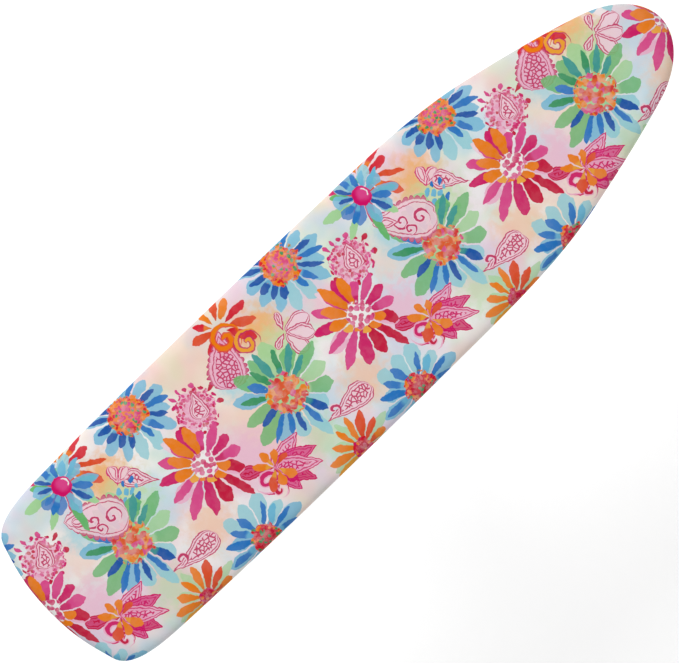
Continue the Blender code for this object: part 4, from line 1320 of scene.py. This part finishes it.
def make_cross_pivot(side, sign):
    """The bolt, nut and nylon spacer where the legs cross."""
    body = "outer_leg_frame"
    inner_face = INNER_LEG_Y - INNER_TUBE_RADIUS - FIT
    outer_face = OUTER_LEG_Y + OUTER_TUBE_RADIUS + FIT
    between = INNER_LEG_Y + INNER_TUBE_RADIUS + FIT
    length = OUTER_LEG_Y - OUTER_TUBE_RADIUS - FIT - between
    places = []
    for y in (inner_face, outer_face, between):
        places.append(across(outer_frame(), UPPER_LEG, sign * y, outward=sign))
    grip = outer_face + NUT_HEIGHT + BOLT_PROUD - inner_face
    profile = rivet_profile(PIN_RADIUS, grip, RIVET_HEAD_RADIUS, 0.004, False)
    bolt_zinc = zinc_material("bolt_zinc_" + side)
    turned("cross_bolt_" + side, profile, places[0], body, "pivot_bolt_" + side, bolt_zinc)
    lock_nut = nut("cross_nut_" + side, places[1], PIN_RADIUS + 0.0001, NUT_HEIGHT)
    finish_piece(lock_nut, body, ["pivot_nut_" + side], zinc_material("nut_zinc_" + side))
    profile = ring_profile(PIN_RADIUS + FIT, 0.008, length)
    nylon = nylon_material("spacer_nylon_" + side)
    turned("cross_spacer_" + side, profile, places[2], body, "pivot_spacer_" + side, nylon)


# ----------------------------------------------------------------------------------- latch and lever


def round_wire(name, points, radius, material, body, node):
    """A smooth round wire, made a mesh."""
    curve = bpy.data.curves.new(name, "CURVE")
    curve.dimensions = "3D"
    curve.bevel_depth = radius
    curve.bevel_resolution = 6
    curve.use_fill_caps = True
    spline = curve.splines.new("POLY")
    spline.points.add(len(points) - 1)
    for target, point in zip(spline.points, points):
        target.co = (*point, 1.0)
    temporary = linked(name + "_curve", curve)
    bpy.context.view_layer.update()
    mesh = bpy.data.meshes.new_from_object(temporary.evaluated_get(bpy.context.evaluated_depsgraph_get()))
    bpy.data.objects.remove(temporary, do_unlink=True)
    mesh.materials.clear()
    mesh.shade_smooth()
    mesh.set_sharp_from_angle(angle=math.radians(50))
    return finish_piece(linked(name, mesh), body, [node], material)


def rounded_path(corners, radius, steps=12):
    """The points of a bent wire: straight runs joined by arcs."""
    path = [corners[0]]
    for before, corner, after in zip(corners, corners[1:], corners[2:]):
        arrive = (corner - before).normalized()
        leave = (after - corner).normalized()
        bend = arrive.angle(leave)
        setback = radius * math.tan(bend / 2)
        centre = corner + (leave - arrive).normalized() * (radius / math.cos(bend / 2))
        first = (corner - arrive * setback - centre).normalized()
        last = (corner + leave * setback - centre).normalized()
        for step in range(steps + 1):
            path.append(centre + first.slerp(last, step / steps) * radius)
    path.append(corners[-1])
    return path


def make_lever():
    """The release lever's bent wire, from the latch plate out to its grip."""
    low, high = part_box("release_lever")
    radius, bend_radius, crank_y = 0.003, 0.007, 0.104
    x = (low.x + high.x) / 2
    upper, lower = high.z - radius, low.z + radius
    corners = [(x, low.y, upper), (x, crank_y, upper), (x, crank_y, lower), (x, high.y, lower)]
    path = rounded_path([Vector(corner) for corner in corners], bend_radius)
    round_wire("lever_wire", path, radius, zinc_material("lever_zinc"), "latch", "release_lever")
    make_grip()


def make_grip():
    """The moulded paddle grip: rounded, waisted, with shallow finger ridges."""
    low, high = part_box("lever_grip")
    middle, half = (low + high) / 2, (high - low) / 2
    rows, sides, ridge_height = 64, 48, 0.00035
    verts = []
    for row in range(rows + 1):
        share = row / rows
        y = -half.y + 2 * half.y * share
        nose = min(1.0, (1 - abs(2 * share - 1)) / 0.16)
        fullness = math.sqrt(max(0.0, 1 - (1 - nose) ** 2)) * 0.5 + 0.5 if 0 < row < rows else 0.45
        ridge = ridge_height * math.cos(math.tau * share * 9) if 0.15 < share < 0.85 else 0.0
        waist = 1 - 0.10 * math.sin(math.pi * share)
        for side in range(sides):
            angle = math.tau * side / sides
            cosine, sine = math.cos(angle), math.sin(angle)
            x = math.copysign(abs(cosine) ** 0.55, cosine) * (half.x * waist * fullness)
            z = math.copysign(abs(sine) ** 0.70, sine) * (half.z * fullness)
            push = max(ridge, 0.0) if abs(sine) > 0.5 else 0.0
            verts.append(middle + Vector((x, y, z - math.copysign(push, z))))
    numbers = numbered_rows(rows + 1, sides)
    grip = add_mesh("lever_paddle", verts, skin(numbers) + [tuple(numbers[0]), tuple(numbers[-1])])
    weld_points(grip)
    grip.data.shade_smooth()
    grip.data.set_sharp_from_angle(angle=math.radians(60))
    finish_piece(grip, "latch", ["lever_grip"], plastic_material("grip_black"))


def make_spring():
    """The latch's coil spring, with closed ends."""
    low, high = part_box("latch_spring")
    middle = (low + high) / 2
    wire_radius, coil_radius, turns, steps = 0.0004, 0.003, 5.5, 240
    closed_share, closed_climb = 0.13, 0.12
    bottom, top = low.z + wire_radius, high.z - wire_radius
    points = []
    for step in range(steps + 1):
        share = step / steps
        eased = min(max((share - closed_share) / (1 - 2 * closed_share), 0.0), 1.0)
        climb = closed_climb * share + (1 - closed_climb) * eased
        angle = math.tau * turns * share
        x, y = middle.x + coil_radius * math.cos(angle), middle.y + coil_radius * math.sin(angle)
        points.append(Vector((x, y, bottom + (top - bottom) * climb)))
    steel = zinc_material("spring_steel_finish", SPRING_GREY)
    coil = round_wire("latch_coil", points, wire_radius, steel, "top", "latch_spring")
    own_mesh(coil)


# ------------------------------------------------------------------------------ hard part finishes


class Finish:
    """A Principled material with a bump, built from noise in the part's own space."""

    def __init__(self, name, metallic=0.0, specular=0.5):
        self.material = bpy.data.materials.new(name)
        self.material.use_nodes = True
        self.tree = self.material.node_tree
        self.shader = self.tree.nodes["Principled BSDF"]
        self.shader.inputs["Metallic"].default_value = metallic
        self.shader.inputs["Specular IOR Level"].default_value = specular
        coordinates = self.tree.nodes.new("ShaderNodeTexCoord")
        self.where = Value(self.tree, coordinates.outputs["Object"])

    def noise(self, scale, detail=2.0, roughness=0.5):
        """Noise from 0 to 1 through the solid part."""
        return noise_value(self.tree, self.where, scale, detail, roughness, flat=False)

    def colour(self, value):
        feed(self.tree, self.shader.inputs["Base Color"], value)

    def roughness(self, value):
        feed(self.tree, self.shader.inputs["Roughness"], value)

    def bump(self, height, strength, distance):
        node = self.tree.nodes.new("ShaderNodeBump")
        node.inputs["Strength"].default_value = strength
        node.inputs["Distance"].default_value = distance
        feed(self.tree, node.inputs["Height"], height)
        self.tree.links.new(node.outputs["Normal"], self.shader.inputs["Normal"])


def painted_metal(name, grey):
    """Powder coat: orange-peel, faint mottling and a few scuffs."""
    finish = Finish(name)
    peel = finish.noise(900.0, 2.0)
    mottle = finish.noise(14.0, 3.0)
    scuff = finish.noise(60.0, 5.0, 0.7)
    darker = tuple(part * 0.82 for part in grey)
    base = mix(finish.tree, mottle.ramp(0.35, 0.70) * 0.5, grey, darker)
    marks = scuff.ramp(0.66, 0.74)
    finish.colour(mix(finish.tree, marks * 0.22, base, (0.22, 0.215, 0.21)))
    finish.roughness(0.36 + mottle * 0.16 + marks * 0.2)
    finish.bump(peel + scuff * 0.4, 0.07, 0.0004)
    return finish.material


def zinc_material(name, tone=(0.58, 0.59, 0.60)):
    """Bright zinc plate, a little clouded."""
    finish = Finish(name, metallic=1.0)
    cloud = finish.noise(70.0, 4.0, 0.6)
    fine = finish.noise(1400.0, 2.0)
    darker = (tone[0] * 0.72, tone[1] * 0.70, tone[2] * 0.66)
    finish.colour(mix(finish.tree, cloud.ramp(0.35, 0.75) * 0.6, tone, darker))
    finish.roughness(0.22 + cloud * 0.22)
    finish.bump(fine, 0.10, 0.0002)
    return finish.material


def rubber_material(name):
    """Matt black rubber, greyed by dust."""
    finish = Finish(name, specular=0.35)
    dust = finish.noise(45.0, 4.0, 0.6)
    grain = finish.noise(1800.0, 2.0)
    black, dusty = (0.022, 0.022, 0.024), (0.10, 0.098, 0.094)
    finish.colour(mix(finish.tree, dust.ramp(0.40, 0.75) * 0.35, black, dusty))
    finish.roughness(0.62 + dust * 0.25)
    finish.bump(grain, 0.25, 0.0002)
    return finish.material


def nylon_material(name):
    """Natural nylon."""
    finish = Finish(name)
    cloud = finish.noise(120.0, 3.0)
    finish.colour(mix(finish.tree, cloud * 0.4, (0.74, 0.73, 0.69), (0.60, 0.59, 0.54)))
    finish.roughness(0.38 + cloud * 0.16)
    finish.bump(finish.noise(1500.0), 0.06, 0.0002)
    finish.shader.inputs["Subsurface Weight"].default_value = 0.15
    finish.shader.inputs["Subsurface Radius"].default_value = (0.002, 0.002, 0.0015)
    return finish.material


def plastic_material(name):
    """Spark-eroded black plastic."""
    finish = Finish(name)
    grain = finish.noise(2600.0, 3.0, 0.6)
    cloud = finish.noise(80.0, 3.0)
    finish.colour(mix(finish.tree, cloud * 0.4, (0.022, 0.024, 0.027), (0.045, 0.047, 0.05)))
    finish.roughness(0.42 + grain * 0.22)
    finish.bump(grain, 0.30, 0.0002)
    return finish.material


def felt_material():
    """Needled felt: a tangle of fibres in warm grey."""
    finish = Finish("needled_felt", specular=0.1)
    stretched = finish.tree.nodes.new("ShaderNodeVectorMath")
    stretched.operation = "MULTIPLY"
    feed(finish.tree, stretched.inputs[0], finish.where)
    stretched.inputs[1].default_value = (1.0, 0.25, 1.0)
    fibres = noise_value(finish.tree, Value(finish.tree, stretched.outputs[0]), 1500.0, 4.0, 0.7, flat=False)
    tufts = finish.noise(220.0, 4.0, 0.65)
    blend = tufts * 0.6 + fibres * 0.4
    finish.colour(mix(finish.tree, blend.ramp(0.35, 0.65), (0.55, 0.53, 0.49), (0.78, 0.76, 0.71)))
    finish.roughness(0.90 + tufts * 0.08)
    finish.bump(blend, 0.8, 0.0008)
    finish.shader.inputs["Sheen Weight"].default_value = 0.3
    return finish.material


def elastic_material():
    """White braided elastic: ribs round the cord, crossed by a fine twill, with painted shade darkening the
    low grooves between the ribs.
    """
    finish = Finish("braided_elastic", specular=0.2)
    attribute = finish.tree.nodes.new("ShaderNodeAttribute")
    attribute.attribute_name = "run"
    run, turn, _ = parts_of(finish.tree, Value(finish.tree, attribute.outputs["Vector"]))
    braid = (run * 5200.0 + turn * 37.7).math("SINE") * (run * 5200.0 - turn * 37.7).math("SINE")
    tone = braid.ramp(-0.8, 0.8)
    # painted shade: where the braid is low the white elastic is coloured grey, standing in for shade in its
    # grooves
    finish.colour(mix(finish.tree, tone, (0.58, 0.57, 0.55), (0.84, 0.83, 0.81)))
    finish.roughness(0.75 + tone * 0.1)
    finish.bump(tone, 0.6, 0.0003)
    return finish.material


def finish_cad_parts():
    """The folded and cut steel parts keep their CAD shape: eased edges and their own finish."""
    painted = ["rim_frame", "rear_cross_stay", "middle_cross_stay", "front_cross_stay", "height_track"]
    painted += ["hinge_bracket_left", "hinge_bracket_right"]
    for name in painted:
        dress_cad_part(name, painted_metal(name + "_paint", DECK_GREY))
    dress_cad_part("outer_leg_brace", painted_metal("outer_brace_paint", LEG_GREY))
    dress_cad_part("latch_plate", zinc_material("latch_plate_zinc"))


def dress_cad_part(name, material):
    """Change a CAD part's material, and round its edges with a narrow bevel."""
    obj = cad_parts[name]
    for slot in obj.material_slots:
        slot.material = material
    bevel = obj.modifiers.new("eased_edges", "BEVEL")
    bevel.width = 0.0003
    bevel.segments = 2
    bevel.limit_method = "ANGLE"
    bevel.angle_limit = math.radians(50)
    bevel.harden_normals = True


# ---------------------------------------------------------------------------- stage, lights, camera


def make_stage():
    """A pale floor, and soft studio light that comes mostly from the board's +Y side."""
    floor = add_mesh("floor", [(-9, -9, 0), (9, -9, 0), (9, 9, 0), (-9, 9, 0)], [(0, 1, 2, 3)])
    finish = Finish("floor_paper", specular=0.2)
    grain = finish.noise(40.0, 3.0)
    finish.colour(mix(finish.tree, grain, (0.92, 0.92, 0.92), (0.94, 0.94, 0.94)))
    finish.roughness(0.9)
    finish.shader.inputs["Emission Color"].default_value = (1.0, 1.0, 1.0, 1.0)
    finish.shader.inputs["Emission Strength"].default_value = 0.35
    floor.data.materials.append(finish.material)
    world = bpy.data.worlds.new("studio")
    bpy.context.scene.world = world
    world.use_nodes = True
    world.node_tree.nodes["Background"].inputs["Color"].default_value = (1.0, 1.0, 1.0, 1.0)
    world.node_tree.nodes["Background"].inputs["Strength"].default_value = 0.45
    add_area_light("key", (-0.3, 2.6, 3.6), 1.8, 90.0)
    add_area_light("fill", (1.6, -2.4, 3.2), 2.4, 22.0)


def add_area_light(name, place, size, power):
    """A square soft light aimed at the board."""
    light = bpy.data.lights.new(name, "AREA")
    light.size = size
    light.energy = power
    obj = linked(name, light)
    obj.location = place
    aim = Vector((0.0, 0.0, COVER_TOP)) - Vector(place)
    obj.rotation_euler = aim.to_track_quat("-Z", "Y").to_euler()


def make_camera():
    """Straight overhead through a long lens, turned so that the board lies along the diagonal."""
    height = 6.0
    width_seen = 1.0895
    camera = bpy.data.cameras.new("camera")
    camera.sensor_width = 36.0
    camera.lens = camera.sensor_width * height / width_seen
    camera.clip_end = 100.0
    obj = linked("camera", camera)
    obj.location = (-0.037, -0.0024, COVER_TOP + height)
    obj.rotation_euler = (0.0, 0.0, -PRINT_TILT)
    bpy.context.scene.camera = obj


make_stage()
make_camera()
bpy.context.scene.view_settings.view_transform = "Standard"
make_pad()
make_cover(make_elastic())
make_mesh_deck()
make_deck_border()
make_legs()
make_inner_brace()
make_fasteners()
make_lever()
make_spring()
finish_cad_parts()
